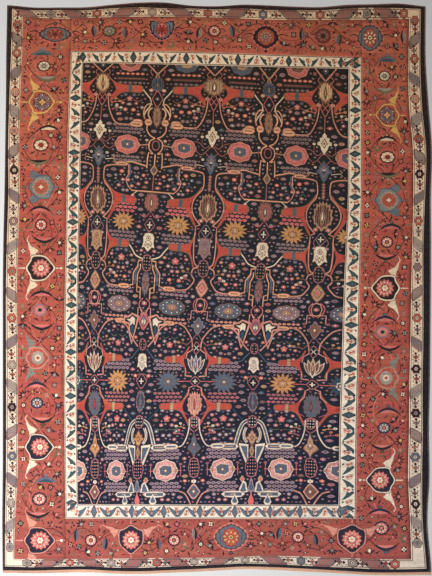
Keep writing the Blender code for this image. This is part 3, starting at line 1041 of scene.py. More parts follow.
LEAF_TEAL = yarn((54, 66, 60), (60, 80, 80), (66, 86, 94))
CORAL = yarn((172, 84, 62), (184, 90, 76), (194, 96, 88))
TAN = yarn((186, 148, 112), (196, 158, 128), (200, 164, 138))
INNER_IVORY = yarn((226, 196, 162), (232, 210, 186), (234, 222, 208))
SPURRED_LEAF = [
    (0, -1), (0.6, -0.6), (1, 0.1), (0.85, 0.75), (0.2, 1), (-0.6, 0.9), (-0.9, 0.45), (-2.0, 0.25),
    (-1.0, -0.1), (-0.6, -0.5),
]
LOZENGE = ((0, -1), (0.3, -0.85), (1, 0), (0.3, 0.85), (0, 1))

INNER_LEFT = (303, 466, 566, 673, 807, 921, 1061, 1192, 1344, 1511)
INNER_RIGHT = (187, 323, 455, 585, 718, 848, 972, 1105, 1244, 1374, 1526)
INNER_HEAD = (239, 390, 548, 702, 854, 1010)
INNER_FOOT = (289, 404, 501, 611, 717, 824, 915, 1036)
LEAVES_BETWEEN = 3
# A gap shorter than this takes as many leaves as fit at this pitch, in knots.
SHORT_GAP, LEAF_PITCH = 90, 38
# The leaf is drawn for a stripe of this half width, and is much longer than it is wide.
DRAWN_HALF_WIDTH, LEAF_LENGTH, LEAF_SLENDERNESS = 21, 18.5, 0.26


def coral_blossom(share):
    """A tan twig that curls over a pair of small madder petals."""
    curl = softened([(-9 * share, 4), (-6 * share, -4), (0, -6), (6 * share, -4), (9 * share, 4)])
    return [
        (TAN, stem(curl, 2.6)),
        *paired([(CORAL, petalled(3.4 * share, 4, 3, 0.2))], 4.2 * share, 1),
        (WALNUT, petalled(1.4, 2.4, 3, 0.1)),
    ]


def inner_side(lozenges, start, end, middle, half_width, upright, leaf_wool):
    """One side of the inner guard: leaves and blossoms along its vine, from one corner to the other."""
    stops = (start, *lozenges, end)
    design, lean = [], 1
    share = half_width / DRAWN_HALF_WIDTH
    for stop, next_stop in zip(stops, stops[1:]):
        fitting = max(1, round((next_stop - stop) / LEAF_PITCH) - 1)
        count = LEAVES_BETWEEN if next_stop - stop > SHORT_GAP else fitting
        gap = (next_stop - stop) / (count + 1)
        for step in range(count + 1):
            reach = stop + gap * step
            twig = stem(softened([(-10 * share, 4), (0, 6.5), (10 * share, 4)]), 1.8)
            petals = [*coral_blossom(share), (WALNUT if step % 2 else TAN, twig)]
            design += placed(petals, reach + gap / 2, 4 * share * lean, 90 + 20 * lean, lean)
            bud = [(leaf_wool, petalled(3, 4.6, 3, 0.3))]
            design += placed(bud, reach + gap / 2, -12 * share * lean, 50 * lean)
            if step == 0:
                continue
            leaf = [(LEAF_SLENDERNESS * s, t) for s, t in scaled(SPURRED_LEAF, LEAF_LENGTH * share)]
            leaf = [(INK, scaled(leaf, 1.07)), (leaf_wool, scaled(leaf, 0.9))]
            design += placed(leaf, reach, 0, 40 * lean, lean)
            lean = -lean
        if next_stop is not end:
            loaf = [(INK, folded(LOZENGE, 10.5, 18 * share)), (leaf_wool, folded(LOZENGE, 8.6, 15 * share))]
            design += placed([*loaf, (SLATE, petalled(2.4, 2.4, 4, 0.2))], next_stop, 0)
    return along_side(design, middle, upright)


# Each side by its lozenges, its start and end, its middle and half width in knots, and its leaves' wool.
inner_design = [
    *inner_side(INNER_LEFT, 180, 1536, 219, 21, True, LEAF_TEAL),
    *inner_side(INNER_RIGHT, 150, 1560, 1055, 22, True, LEAF_TEAL),
    *inner_side(INNER_HEAD, 219, 1055, 180, 18, False, LEAF_TEAL),
    *inner_side(INNER_FOOT, 219, 1055, 1536, 21, False, SLATE),
    *guard_lines(3, inset=2.5, width=2.2, wool=WALNUT),
]
inner_guard = knotted("inner_guard", ring_of_strips(3), inner_design, INNER_IVORY)
inner_guard.data.materials.append(
    spun_wool("inner_guard_wool", streak=0.1, mottle=0.12, tuft_depth=0.8 * MM, sheen=0.25)
)
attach(inner_guard, "root")
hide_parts("rug_pile")
# ---- The field ----
# Midnight wool, browner at the head end where the first dye lot ran out. Five columns of palmettes,
# lozenges and lattices stand on it, with scarlet wings, clasped vines and rows of small flowers.

# The columns and the rows of the design drifted as they were knotted, so each has its own line.
DRIFTED_COLUMNS = (
    (-816, -816, -823, -848, -855, -863, -877, -884, -881, -877, -877, -884, -884),
    (-420, -423, -427, -438, -463, -490, -515, -531, -544, -564, -575, -578, -582),
    (-6, -9, -20, -35, -56, -85, -107, -141, -157, -164, -166, -171, -175),
    (379, 378, 376, 369, 354, 331, 302, 274, 262, 255, 248, 243, 239),
    (786, 785, 781, 772, 765, 743, 724, 700, 685, 671, 671, 667, 664),
)
DRIFTED_ROWS = (
    (1583, 1576, 1563, 1546, 1518, 1502, 1490),
    (1094, 1068, 1032, 996, 962, 935, 921),
    (554, 528, 489, 444, 405, 374, 359),
    (-44, -62, -96, -136, -154, -166, -174),
    (-656, -656, -665, -670, -685, -706, -714),
    (-1297, -1297, -1297, -1282, -1279, -1304, -1311),
)
COLUMNS = (303.0, 469.5, 636.0, 802.5, 969.0)
BETWEEN_COLUMNS = (386.0, 553.0, 719.0, 886.0)
FIELD_LEFT, FIELD_HEAD, FIELD_RIGHT, FIELD_FOOT = FIELD_STRIP = (240, 198, 1032, 1515)
FIELD_LINES = (
    (FIELD_LEFT, *COLUMNS, FIELD_RIGHT),
    (LONG_LINES[4], *DRIFTED_COLUMNS, LONG_LINES[5]),
    (FIELD_HEAD, 224, 450, 679, 917, 1147, 1404, FIELD_FOOT),
    (CROSS_LINES[4], *DRIFTED_ROWS, CROSS_LINES[5]),
)

NIGHT = yarn((42, 29, 23), (38, 31, 28), (32, 35, 41), (32, 35, 46), (31, 34, 50), (31, 35, 55))
PINK = yarn((180, 94, 80), (192, 100, 94), (204, 104, 106), (212, 114, 122))
COPPER = yarn((188, 98, 80), (202, 104, 88), (212, 110, 98))
PEACH = yarn((190, 128, 100), (204, 138, 120), (214, 150, 136))
CREAM = yarn((204, 178, 138), (212, 190, 162), (220, 202, 180), (226, 208, 192))
AMBER = yarn((176, 126, 74), (182, 128, 82), (200, 146, 102))
FAWN = yarn((158, 118, 84), (178, 136, 104), (186, 146, 122))
STORM = yarn((74, 78, 82), (84, 92, 104), (86, 100, 118))
PETROL = yarn((50, 66, 68), (48, 74, 86), (50, 72, 92))
HEATHER = yarn((134, 106, 102), (148, 118, 124), (158, 132, 144))
UMBER = yarn((112, 74, 56), (124, 84, 70), (122, 86, 80))
APRICOT = yarn((208, 144, 104), (220, 156, 120), (226, 166, 138))
SCARLET = yarn((172, 72, 55), (178, 73, 61), (186, 78, 70))
MOSS = yarn((104, 92, 58), (108, 100, 74), (102, 100, 86))
BERRY = yarn((152, 86, 72), (160, 94, 88), (166, 98, 102), (172, 110, 118))
PLUM = yarn((122, 94, 84), (132, 106, 104), (138, 112, 120), (142, 120, 136))
PALE_ROSE = yarn((200, 122, 110), (210, 146, 144))

# The right halves of the field's shapes, from the top down, as shares of their half size.
TULIP = (
    (0, -1), (0.25, -0.55), (0.55, -0.95), (0.62, -0.45), (1, -0.5), (0.9, 0.1), (0.55, 0.6), (0.3, 0.7),
    (0, 1),
)
SPEAR = ((0, -1), (0.5, -0.6), (1, 0), (0.6, 0.55), (0, 1))
BELL = ((0, -1), (0.35, -0.75), (0.5, -0.2), (1, 0.5), (0.7, 0.7), (0.35, 0.6), (0, 1))
STEPPED = (
    (0, -1), (0.3, -0.72), (0.3, -0.55), (0.7, -0.5), (0.62, -0.2), (1, -0.1), (1, 0.15), (0.6, 0.2),
    (0.4, 0.6), (0, 1),
)
HEXAGON = ((0, -1), (0.7, -0.8), (1, 0), (0.7, 0.8), (0, 1))
DROP = ((0, -1), (0.3, -0.5), (0.8, 0.1), (1, 0.5), (0.6, 0.9), (0, 1))
PENDANT = (
    (0, -1), (0.16, -0.55), (0.34, -0.4), (0.38, -0.1), (0.76, 0.05), (1, 0.3), (0.6, 0.5), (0.3, 0.62),
    (0, 1),
)
BLOCK = ((0, -1), (1, -1), (1, 1), (0, 1))
HELMET = ((0, -1), (0.6, -0.92), (0.88, -0.5), (0.8, 0.05), (1, 0.6), (0.62, 0.5), (0.3, 0.78), (0, 1))
FLAME = (
    (0, -1), (0.16, -0.76), (0.34, -0.96), (0.42, -0.7), (0.66, -0.84), (0.68, -0.48), (0.92, -0.46),
    (0.82, -0.1), (1, 0.06), (0.84, 0.28), (0.82, 0.52), (0.58, 0.56), (0.48, 0.8), (0.24, 0.78), (0, 1),
)
OVAL = ((0, -1), (0.8, -0.6), (1, 0), (0.8, 0.6), (0, 1), (-0.8, 0.6), (-1, 0), (-0.8, -0.6))
FINE, VINE, RAIL = 1.9, 2.6, 2.4


def line(wool, path, width=VINE):
    """A plain line of knots."""
    return [(wool, stem(path, width))]


def curl(wool, path, width=VINE):
    """A line of knots that bends smoothly."""
    return line(wool, softened(path), width)


def vine(wool, path, lay=curl):
    """A vine, bent or straight, with a brown shadow line on its lower side."""
    return lay(UMBER, [(s, t + 1.6) for s, t in path], 3.6) + lay(wool, path, 3.0)


def patch(wool, *corners):
    """A plain patch of one wool."""
    return [(wool, list(corners))]


def layered(*layers):
    """Shapes laid one on another, each by its wool, its right half and its half size."""
    return [(wool, folded(*shape)) for wool, *shape in layers]


def jewel(half, across, along, *wools):
    """A lozenge, drop or bell in rings of wool, each ring as wide as the next."""
    shape = folded(half, across, along)
    return [(wool, scaled(shape, 1 - step / len(wools))) for step, wool in enumerate(wools)]


def cage(half, across, along, wool):
    """An open lozenge or lattice frame: one ring of knots with the field's midnight inside."""
    return layered((wool, half, across, along), (NIGHT, half, across - RAIL, along - RAIL * 1.4))


def crossed(across, along, wool, bar_wool, first, second, width=3):
    """A lozenge frame with two bars crossed in it, each by the place of one of its ends."""
    bars = [line(bar_wool, [(-s, -t), (s, t)], width) for s, t in (first, second)]
    return cage(LOZENGE, across, along, wool) + bars[0] + bars[1]


def bead(across, along, wool):
    """An oval of knots."""
    return [(wool, [(across * s, along * t) for s, t in OVAL])]


def blossom(size, wool, heart=CREAM):
    """A small round blossom with a heart of another wool."""
    petals, eye = petalled(size * 1.4, size * 1.1, 6, 0.16), petalled(size * 0.46, size * 0.42, 4, 0.1)
    return [(wool, petals), (heart, eye)]


def crowned(half, across, along, edge, body, inner, core):
    """A palmette: lobes round its top, an edge line, its body, two petals inside and a seed."""
    lobe = [
        (edge, petalled(across * 0.27, across * 0.27, 5, 0.1)),
        (inner, petalled(across * 0.15, across * 0.15, 4, 0.1)),
    ]
    places = [(across * 0.4 * step, -along * (0.86 - 0.13 * step * step)) for step in (-2, -1, 0, 1, 2)]
    return [
        *[item for place in places for item in placed(lobe, *place)],
        (edge, folded(half, across, along)),
        (body, folded(half, across * 0.86, along * 0.88)),
        (NIGHT, folded(SPEAR, across * 0.62, along * 0.7)),
        (inner, folded(SPEAR, across * 0.52, along * 0.6)),
        *paired([(core, folded(LEAF, across * 0.13, along * 0.3))], across * 0.24, along * 0.02),
        (edge, folded(LEAF, across * 0.1, along * 0.2)),
        (core, petalled(1.6, 1.8, 4, 0.1)),
    ]


def striped(across, along, edge, petal, stripe, heart):
    """A long palmette with a flaming edge, striped from head to foot by its own petals."""
    body = folded(FLAME, across, along)
    design = [(UMBER, scaled(body, 1.07)), (edge, body), (petal, scaled(body, 0.86))]
    for place, tall, lift in ((0.7, 0.36, 0.02), (0.46, 0.56, -0.04), (0.22, 0.7, -0.06)):
        bar = line(stripe, [(0, -along * tall), (0, along * tall)], 1.9)
        design += paired(placed(bar, across * place, along * lift))
    for wool, wide, tall in ((edge, 0.26, 0.6), (NIGHT, 0.17, 0.5), (heart, 0.1, 0.36)):
        design.append((wool, folded(LEAF, across * wide, along * tall)))
    return design


def lotus(across, along, pale, inner, behind):
    """An open palmette of five long petals, each edged pale, spread like a fan from its foot."""
    petal = folded(LEAF, across * 0.27, along * 0.7)
    leaf = [(pale, petal), (inner, scaled(petal, 0.8)), (behind, scaled(petal, 0.42))]
    design = [(behind, folded(TULIP, across * 0.96, along * 0.86))]
    for turn, out, low in ((30, 0.5, 0.1), (15, 0.28, -0.04)):
        design += paired(placed(leaf, across * out, along * low, turn))
    heart = folded(LEAF, across * 0.24, along * 0.9)
    return [*design, (pale, heart), (behind, scaled(heart, 0.8)), (FAWN, scaled(heart, 0.36))]


def helmeted(across, along, pale, inner):
    """A pale palmette with a domed top and two side points, drawn inside with ovals."""
    body = folded(HELMET, across, along)
    oval = petalled(across * 0.36, along * 0.3, 5, 0.05)
    leaf = folded(LEAF, across * 0.2, along * 0.34)
    return [
        (UMBER, scaled(body, 1.08)),
        (pale, body),
        *placed([(inner, oval), (pale, scaled(oval, 0.72)), (inner, scaled(oval, 0.4))], 0, -along * 0.42),
        *paired([(inner, leaf), (pale, scaled(leaf, 0.55))], across * 0.42, along * 0.16),
        *placed([(inner, leaf), (pale, scaled(leaf, 0.5))], 0, along * 0.36),
    ]


def star(size):
    """A five-petalled rose blossom, the largest of the small ones."""
    return [
        (UMBER, petalled(size, size * 0.96, 5, 0.3)),
        (PINK, petalled(size * 0.88, size * 0.84, 5, 0.3)),
        (CREAM, petalled(3, 3, 5, 0.2)),
        (UMBER, petalled(1.4, 1.4, 4, 0.1)),
    ]


def twig(wool, tip_wool):
    """A little twig on a level line, with a bud at each end and one above."""
    return drawn(
        (line, wool, [(-11, 3), (11, 0)], 2.2), (line, wool, [(-3, 1), (-1, -8)], 2.0),
        (blossom, 12, -1, 3.6, tip_wool, UMBER), (blossom, -1, -9, 3.2, tip_wool, UMBER),
        (blossom, -12, 5, 2.8, wool, NIGHT),
    )


def seeded(across, along, columns, rows, edge, seed):
    """A lattice: a frame with rows of seeds in it."""
    design = cage(HEXAGON, across, along, edge)
    for column in range(columns):
        for row in range(rows):
            s = (column - (columns - 1) / 2) * 1.5 * across / columns
            t = (row - (rows - 1) / 2) * 1.5 * along / rows
            design += placed([(seed, [(0, -2.3), (2, 0), (0, 2.3), (-2, 0)])], s, t)
    return design


def flower_row(count, step, wool, heart, size):
    """A row of the same small oval blossom, side by side."""
    end = (count - 1) * step / 2
    design = line(UMBER, [(-end, 0), (end, 0)], 1.6)
    for place in range(count):
        flower = bead(size * 1.2, size * 0.84, wool) + bead(size * 0.34, size * 0.26, heart)
        design += placed(flower, (place - (count - 1) / 2) * step, 0)
    return design


def flower_rows(rows, count, step, wool, heart, size=5.4):
    """Rows of the same blossom, each row half a blossom along from the one before."""
    design = []
    for row in range(rows):
        shift = step / 4 * (1 if row % 2 else -1)
        design += placed(flower_row(count, step, wool, heart, size), shift, (row - (rows - 1) / 2) * 11)
    return design


def chain(count, step, wool, bud):
    """A chain of small crosses, with a bud between each two."""
    design = []
    for link in range(count):
        s = (link - (count - 1) / 2) * step
        for side in (4, -4):
            design += line(wool, [(s - side, -3.4), (s + side, 3.4)], 2.2)
        design += placed([(bud, petalled(2.4, 2.4, 4, 0.1))], s + step / 2, 0)
    return design


def banded(path, width):
    """A band of slate wool with an ivory edge."""
    path = softened(path)
    return line(UMBER, path, width + 2.4) + line(CREAM, path, width) + line(STORM, path, width - 4.2)


def clasp(across, along):
    """An apricot clasp on a vine, with a bar through it."""
    edge, face = (UMBER, HEXAGON, across + 3, along + 2), (APRICOT, HEXAGON, across + 1, along)
    return layered(edge, face, (UMBER, BLOCK, across * 0.62, 1.6))


def great_rosette(across, along, edge, body, heart, eye):
    """A rosette between two columns: pale petals with dark windows round an oblong heart."""
    design = [(edge, petalled(across, along, 8, 0.1))]
    design.append((body, petalled(across * 0.955, along * 0.95, 8, 0.11)))
    for petal in range(12):
        turn = radians(30 * petal + 15)
        out, up = sin(turn), -cos(turn)
        near = (across * 0.8 * out - along * 0.1 * up, along * 0.78 * up + across * 0.1 * out)
        far = (across * 0.8 * out + along * 0.1 * up, along * 0.78 * up - across * 0.1 * out)
        spoke = [(across * 0.5 * out, along * 0.5 * up), (across * 0.9 * out, along * 0.9 * up)]
        design += line(edge, spoke, 1.3) + line(UMBER, [near, far], 1.9)
    for side in (-1, 1):
        bud = [(UMBER, petalled(4, 5, 4, 0.2)), (FAWN, petalled(2.6, 3.4, 4, 0.2))]
        design += placed(bud, side * across * 0.86, 0)
    block = [(-1, -0.5), (-0.3, -1), (0.9, -0.8), (1, 0.4), (0.3, 1), (-0.8, 0.7)]
    rings = (edge, 0.56, 0.54), (UMBER, 0.51, 0.48), (heart, 0.47, 0.42), (UMBER, 0.17, 0.2)
    for wool, wide, tall in rings:
        design.append((wool, [(across * wide * s, along * tall * t) for s, t in block]))
    return [*design, (eye, petalled(3.4, 3.4, 4, 0.3))]


def beaded(across, along, body, bead_wool, heart):
    """An oblong rosette with a ring of beads."""
    design = [(UMBER, petalled(across, along, 10, 0.08))]
    design.append((body, petalled(across * 0.94, along * 0.92, 10, 0.08)))
    for step in range(10):
        turn = tau * step / 10
        place = (across * 0.68 * sin(turn), -along * 0.66 * cos(turn))
        ring_bead = [(NIGHT, petalled(4, 3.6, 4, 0.15)), (bead_wool, petalled(2.6, 2.3, 4, 0.15))]
        design += placed(ring_bead, *place)
    for wool, wide, tall, petals, dent in (
        (UMBER, 0.46, 0.46, 8, 0.1), (PLUM, 0.4, 0.38, 8, 0.15), (heart, 0.26, 0.26, 6, 0.2),
        (UMBER, 0.14, 0.14, 5, 0.1),
    ):
        design.append((wool, petalled(across * wide, along * tall, petals, dent)))
    return [*design, (CREAM, petalled(2.4, 2.4, 4, 0.1))]


def starburst(across, along, body, ray):
    """A pointed rosette with rays, and a bar of rose knots either side."""
    points = petalled(across, along, 14, 0.42)
    design = [(UMBER, scaled(points, 1.07)), (body, points)]
    for wool, share, petals, dent in ((body, 0.66, 7, 0.1), (ray, 0.42, 7, 0.25), (body, 0.32, 6, 0.2)):
        design.append((wool, petalled(across * share, along * share, petals, dent)))
    design += [(UMBER, petalled(5.6, 5.4, 5, 0.1)), (CREAM, petalled(4.2, 4, 5, 0.2))]
    design.append((UMBER, petalled(1.8, 1.8, 4, 0.1)))
    return design + paired(line(BERRY, [(across, 0), (across + 9, 0)], 2))


# The scarlet wings spring from each side of a column, narrow to a banded arm and end in a spike. Each
# has its outline, its place down the column, and its band's place and wool.
WINGS = (
    ([
        (12, -46), (24, -28), (42, -16), (62, -11), (82, -10), (114, -9), (120, 1), (114, 11), (80, 10),
        (58, 14), (42, 26), (24, 44), (27, 24), (40, 7), (34, -12), (18, -34),
    ], 276, 84, STORM),
    ([
        (20, -56), (33, -36), (51, -20), (72, -14), (110, -8), (117, 2), (111, 13), (78, 10), (63, 16),
        (51, 36), (36, 62), (32, 60), (45, 33), (52, 4), (43, -18), (26, -42),
    ], 616, 81, STORM),
    ([
        (31, -46), (36, -28), (47, -13), (70, -9), (98, -8), (104, 1), (98, 10), (68, 10), (48, 15), (38, 30),
        (31, 54), (28, 52), (35, 28), (40, 3), (36, -18), (28, -44),
    ], 748, 75, STORM),
    ([
        (24, -38), (31, -24), (43, -11), (64, -8), (90, -7), (96, 1), (90, 9), (62, 9), (44, 13), (34, 26),
        (29, 42), (26, 40), (31, 24), (37, 3), (31, -14), (21, -36),
    ], 1080, 68, FAWN),
    ([
        (18, -50), (27, -32), (41, -14), (62, -9), (98, -8), (104, 1), (98, 9), (62, 9), (42, 15), (29, 34),
        (19, 54), (16, 52), (25, 31), (36, 7), (32, -13), (23, -32), (15, -48),
    ], 1220, 69, FAWN),
)
wing_halves = []
for outline, down, band, band_wool in WINGS:
    shape = softened(outline, closed=True)
    shadow = [(s + 0.6, t + 2.4) for s, t in shape]
    wing_halves += placed([(MOSS, scaled(shape, 1.03)), (UMBER, shadow), (SCARLET, shape)], 0, down)
    wing_halves += placed(layered((MOSS, BLOCK, 6, 11.5), (band_wool, BLOCK, 4.4, 10.5)), band, down)


# The vines, twigs and blossoms beside a main column, from the head down.
MAIN_VINES = paired(drawn(
    (vine, PEACH, [(30, 199), (16, 213), (1, 228)]), (curl, PINK, [(9, 214), (22, 226), (15, 238)], FINE),
    (blossom, 32, 212, 3.8, BERRY, NIGHT), (line, BERRY, [(17, 288), (22, 296), (15, 307)], FINE),
    (blossom, 20, 299, 5, PEACH, UMBER),
    (vine, PEACH, [(18, 306), (20, 326), (26, 350), (40, 378), (56, 388), (90, 388)]),
    (clasp, 106, 386, 18, 8), (twig, 42, 318, COPPER, AMBER), (twig, 46, 338, BERRY, CREAM),
    (blossom, 50, 357, 4.6, BERRY), (line, UMBER, [(30, 412), (30, 438)], 2.2),
    (blossom, 30, 412, 3.6, CREAM, COPPER), (curl, BERRY, [(6, 436), (20, 446), (36, 432), (52, 427)], FINE),
    (curl, BERRY, [(20, 459), (32, 466), (50, 452)], FINE), (blossom, 25, 480, 3.4, CREAM, NIGHT),
    (line, CREAM, [(20, 500), (42, 496)], FINE),
    (line, FAWN, [(42, 486), (48, 491), (43, 497), (49, 502), (43, 507)]),
    (vine, PEACH, [(84, 513), (66, 514), (45, 515), (24, 520), (18, 530), (17, 556), (21, 572)]),
    (vine, PEACH, [(21, 572), (36, 590), (46, 612), (45, 636), (36, 656), (18, 676)]),
    (blossom, 12, 592, 3.4, BERRY), (blossom, 17, 664, 6, BERRY),
    (line, PEACH, [(18, 676), (31, 682), (31, 700)]),
    (vine, PEACH, [(31, 700), (32, 730), (31, 762), (27, 790), (14, 800)]),
    (curl, BERRY, [(13, 690), (20, 704), (14, 718)], FINE), (blossom, 17, 722, 4.4, PLUM),
    (vine, PEACH, [(14, 800), (30, 808), (33, 826), (24, 840), (34, 858), (48, 871), (78, 874)]),
    (clasp, 96, 873, 18, 6.5), (twig, 46, 818, UMBER, AMBER), (twig, 50, 838, BERRY, CREAM),
    (blossom, 24, 889, 5, PLUM), (curl, PINK, [(10, 893), (20, 908), (16, 926), (4, 938)]),
    (line, PEACH, [(0, 931), (24, 931), (24, 958)]), (blossom, 30, 958, 3.6, BERRY, NIGHT),
    (vine, PEACH, [(60, 972), (42, 980), (27, 998), (15, 1020), (12, 1050)]),
    (curl, BERRY, [(4, 1004), (16, 1022), (28, 1034)], FINE), (twig, 44, 1030, UMBER, AMBER),
    (line, PEACH, [(12, 1050), (27, 1060), (31, 1078)]),
    (vine, PEACH, [(31, 1106), (31, 1129), (10, 1131)], line),
    (line, COPPER, [(16, 1146), (54, 1146)], FINE),
    (line, PEACH, [(6, 1160), (19, 1166), (20, 1186), (33, 1200)]),
    (line, BERRY, [(18, 1246), (28, 1240), (38, 1236)], FINE),
    (curl, BERRY, [(5, 1250), (18, 1262), (14, 1284), (2, 1296)]),
    (vine, CREAM, [(14, 1258), (16, 1290), (24, 1318), (36, 1337), (50, 1341)]),
    (layered, 68, 1340, (UMBER, HEXAGON, 24, 9.5), (CREAM, HEXAGON, 22, 8), (STORM, BLOCK, 14, 2.4)),
    (twig, 42, 1280, AMBER, CREAM), (twig, 46, 1300, BERRY, COPPER), (blossom, 28, 1376, 5, BERRY),
    (blossom, 26, 1443, 4.6, COPPER), (vine, PEACH, [(44, 1474), (28, 1480), (18, 1494), (8, 1515)]),
))


def palmette_column(first, second, third, fourth, fifth, sixth, drop, lozenge):
    """One of the three main columns, from the head down, with the wools of its great flowers."""
    return paired(wing_halves) + MAIN_VINES + drawn(
        (jewel, 0, 205, LOZENGE, 9, 8, STORM, NIGHT, CREAM),
        (crossed, 0, 307, 15, 26, PINK, PINK, (8, 10), (-8, 10), FINE), (striped, 0, 262, *first),
        (line, BERRY, [(0, 331), (0, 376)]), (cage, 0, 458, LOZENGE, 20, 20, BERRY),
        (jewel, 0, 410, STEPPED, 20, 32, CREAM, CREAM, CREAM, UMBER, CREAM, UMBER),
        (jewel, 0, 492, STEPPED, 21, 34, STORM, STORM, PLUM, STORM, NIGHT),
        (blossom, 0, 488, 3, CREAM, NIGHT), (line, 0, 548, UMBER, [(0, -22), (0, 26)], 7),
        (line, 0, 548, PLUM, [(0, -22), (0, 26)], 3),
        *[(line, 0, t, COPPER, [(-5, 0), (5, 0)], FINE) for t in range(530, 572, 9)],
        (striped, 0, 624, 27, 44, FAWN, third, NIGHT, CREAM),
        (crossed, 0, 693, 16, 20, PLUM, CREAM, (8, 0), (0, 9)),
        (helmeted, 0, 746, 19, 31, second, UMBER), (seeded, 0, 804, 17, 27, 3, 4, BERRY, FAWN),
        (jewel, 0, 862, SPEAR, 20, 31, UMBER, fourth, fourth, UMBER, fourth, PINK, PINK),
        (cage, 0, 913, HEXAGON, 15, 22, PEACH), (blossom, 0, 913, 6, BERRY),
        (jewel, 0, 977, STEPPED, 21, 29, PLUM, lozenge, lozenge, UMBER, lozenge, CREAM),
        (crossed, 0, 1044, 14, 20, BERRY, CREAM, (6, 7), (-6, 7), FINE),
        (lotus, 0, 1094, 28, 36, CREAM, UMBER, fifth),
        (crossed, 0, 1146, 17, 16, BERRY, CREAM, (7, 0), (0, 7)),
        (striped, 0, 1214, 22, 38, sixth, sixth, UMBER, SCARLET),
        (seeded, 0, 1268, 13, 18, 3, 3, BERRY, CREAM),
        (jewel, 0, 1334, PENDANT, 20, 43, UMBER, drop, drop, drop, UMBER, drop, CREAM),
        (seeded, 0, 1404, 17, 32, 4, 5, BERRY, PEACH), (blossom, 0, 1445, 5.5, CREAM, COPPER),
        (jewel, 0, 1476, LOZENGE, 20, 24, PEACH, lozenge, lozenge, UMBER, CREAM),
    )


# The same for the two columns between the main ones.
LESSER_VINES = paired(drawn(
    (vine, PEACH, [(30, 199), (15, 214), (1, 230)]), (curl, PINK, [(12, 212), (22, 222), (14, 236)], FINE),
    (blossom, 19, 280, 5, PEACH),
    (vine, CREAM, [(46, 275), (33, 292), (20, 308), (20, 326), (33, 344), (40, 360)]),
    (vine, APRICOT, [(15, 324), (27, 322), (37, 334), (40, 352), (36, 368)]),
    (curl, APRICOT, [(14, 334), (23, 340), (26, 354), (20, 368)], 4.2), (clasp, 25, 378, 9.5, 9.5),
    (clasp, 57, 380, 14, 9), (vine, APRICOT, [(28, 386), (28, 402), (18, 418), (3, 426)]),
    (vine, APRICOT, [(3, 426), (18, 436), (19, 458), (6, 474)]), (line, PEACH, [(18, 446), (48, 450)]),
    (blossom, 27, 433, 3.4, CREAM, NIGHT), (line, UMBER, [(27, 436), (27, 462)], 2.0),
    (vine, APRICOT, [(9, 474), (20, 470), (22, 490), (22, 518)], line),
    (vine, APRICOT, [(24, 512), (66, 502), (118, 508)], line), (clasp, 96, 510, 17, 6),
    (line, STORM, [(72, 512), (70, 538), (76, 552)], 5.5),
    (curl, PEACH, [(76, 510), (75, 540), (82, 556), (74, 578), (64, 588)]),
    (vine, APRICOT, [(0, 589), (64, 589)], line), (line, CREAM, [(46, 590), (58, 600), (66, 612)], FINE),
    (blossom, 30, 541, 4.6, COPPER), (blossom, 48, 548, 4.4, PLUM), (blossom, 20, 562, 4.8, BERRY),
    (blossom, 44, 568, 4.8, BERRY), (blossom, 20, 662, 5, PLUM, PINK),
    (curl, PINK, [(4, 654), (16, 668), (34, 660)], FINE),
    (vine, CREAM, [(68, 742), (50, 764), (36, 782), (8, 792)]), (blossom, 20, 766, 4.6, BERRY),
    (line, STORM, [(24, 806), (34, 832), (34, 866)], 6),
    (vine, APRICOT, [(10, 794), (27, 796), (28, 812), (41, 832), (41, 868), (62, 872)], line),
    (vine, APRICOT, [(19, 806), (19, 818), (27, 836), (27, 872), (15, 876), (15, 908)], line),
    (line, APRICOT, [(15, 889), (27, 888), (27, 874)]),
    (curl, PINK, [(5, 906), (16, 918), (14, 934), (3, 944)]),
    (line, PEACH, [(6, 950), (12, 934), (20, 934), (20, 958), (34, 962)]), (clasp, 76, 974, 19, 6.5),
    (patch, PEACH, (14, 958), (40, 950), (50, 960), (66, 962), (66, 980), (50, 984), (48, 1012), (38, 1042),
        (25, 1000)),
    (patch, NIGHT, (21, 963), (39, 955), (47, 964), (62, 966), (62, 976), (46, 980), (44, 1010),
        (38, 1032), (29, 1000)),
    (patch, CREAM, (28, 966), (38, 960), (46, 969), (58, 969), (44, 977), (44, 988), (36, 980), (30, 986)),
    (patch, PETROL, (36, 984), (42, 992), (41, 1010), (37, 1020), (32, 1004), (32, 990)),
    (vine, PEACH, [(84, 972), (58, 986), (46, 1004), (30, 1030), (16, 1046)]),
    (blossom, 24, 1020, 4.4, COPPER), (curl, STORM, [(54, 1082), (36, 1080), (24, 1066), (12, 1052)]),
    (blossom, 22, 1131, 4.8, COPPER), (curl, BERRY, [(5, 1124), (18, 1136), (6, 1160)], FINE),
    (curl, PETROL, [(56, 1228), (42, 1246), (26, 1262), (12, 1276)], 3.2),
    (banded, [(13, 1262), (27, 1272), (36, 1292), (42, 1314), (47, 1334)], 10),
    (banded, [(17, 1284), (23, 1300), (22, 1318), (14, 1330)], 6.5),
    (layered, 65, 1342, (UMBER, HEXAGON, 29, 11.5), (CREAM, HEXAGON, 27, 10), (STORM, BLOCK, 19, 5.4),
        (FAWN, BLOCK, 13, 1.6)), (patch, CREAM, (10, 1336), (38, 1332), (34, 1350), (16, 1396), (10, 1396)),
    (patch, STORM, (13, 1342), (33, 1340), (29, 1350), (14, 1386), (12, 1386)),
    (jewel, 26, 1440, LOZENGE, 8, 10, FAWN, COPPER),
    (patch, CREAM, (10, 1478), (14, 1452), (22, 1444), (32, 1462), (38, 1482)),
    (patch, STORM, (14, 1476), (18, 1454), (22, 1450), (28, 1464), (33, 1478)),
    (layered, 52, 1484, (UMBER, HEXAGON, 36, 11), (CREAM, HEXAGON, 34, 9.6), (STORM, BLOCK, 25, 4.8),
        (FAWN, BLOCK, 8, 1.6)), (jewel, 47, 1499, DROP, 11, 17, CREAM, STORM, STORM),
    (blossom, 16, 1510, 3.4, PLUM, NIGHT),
))


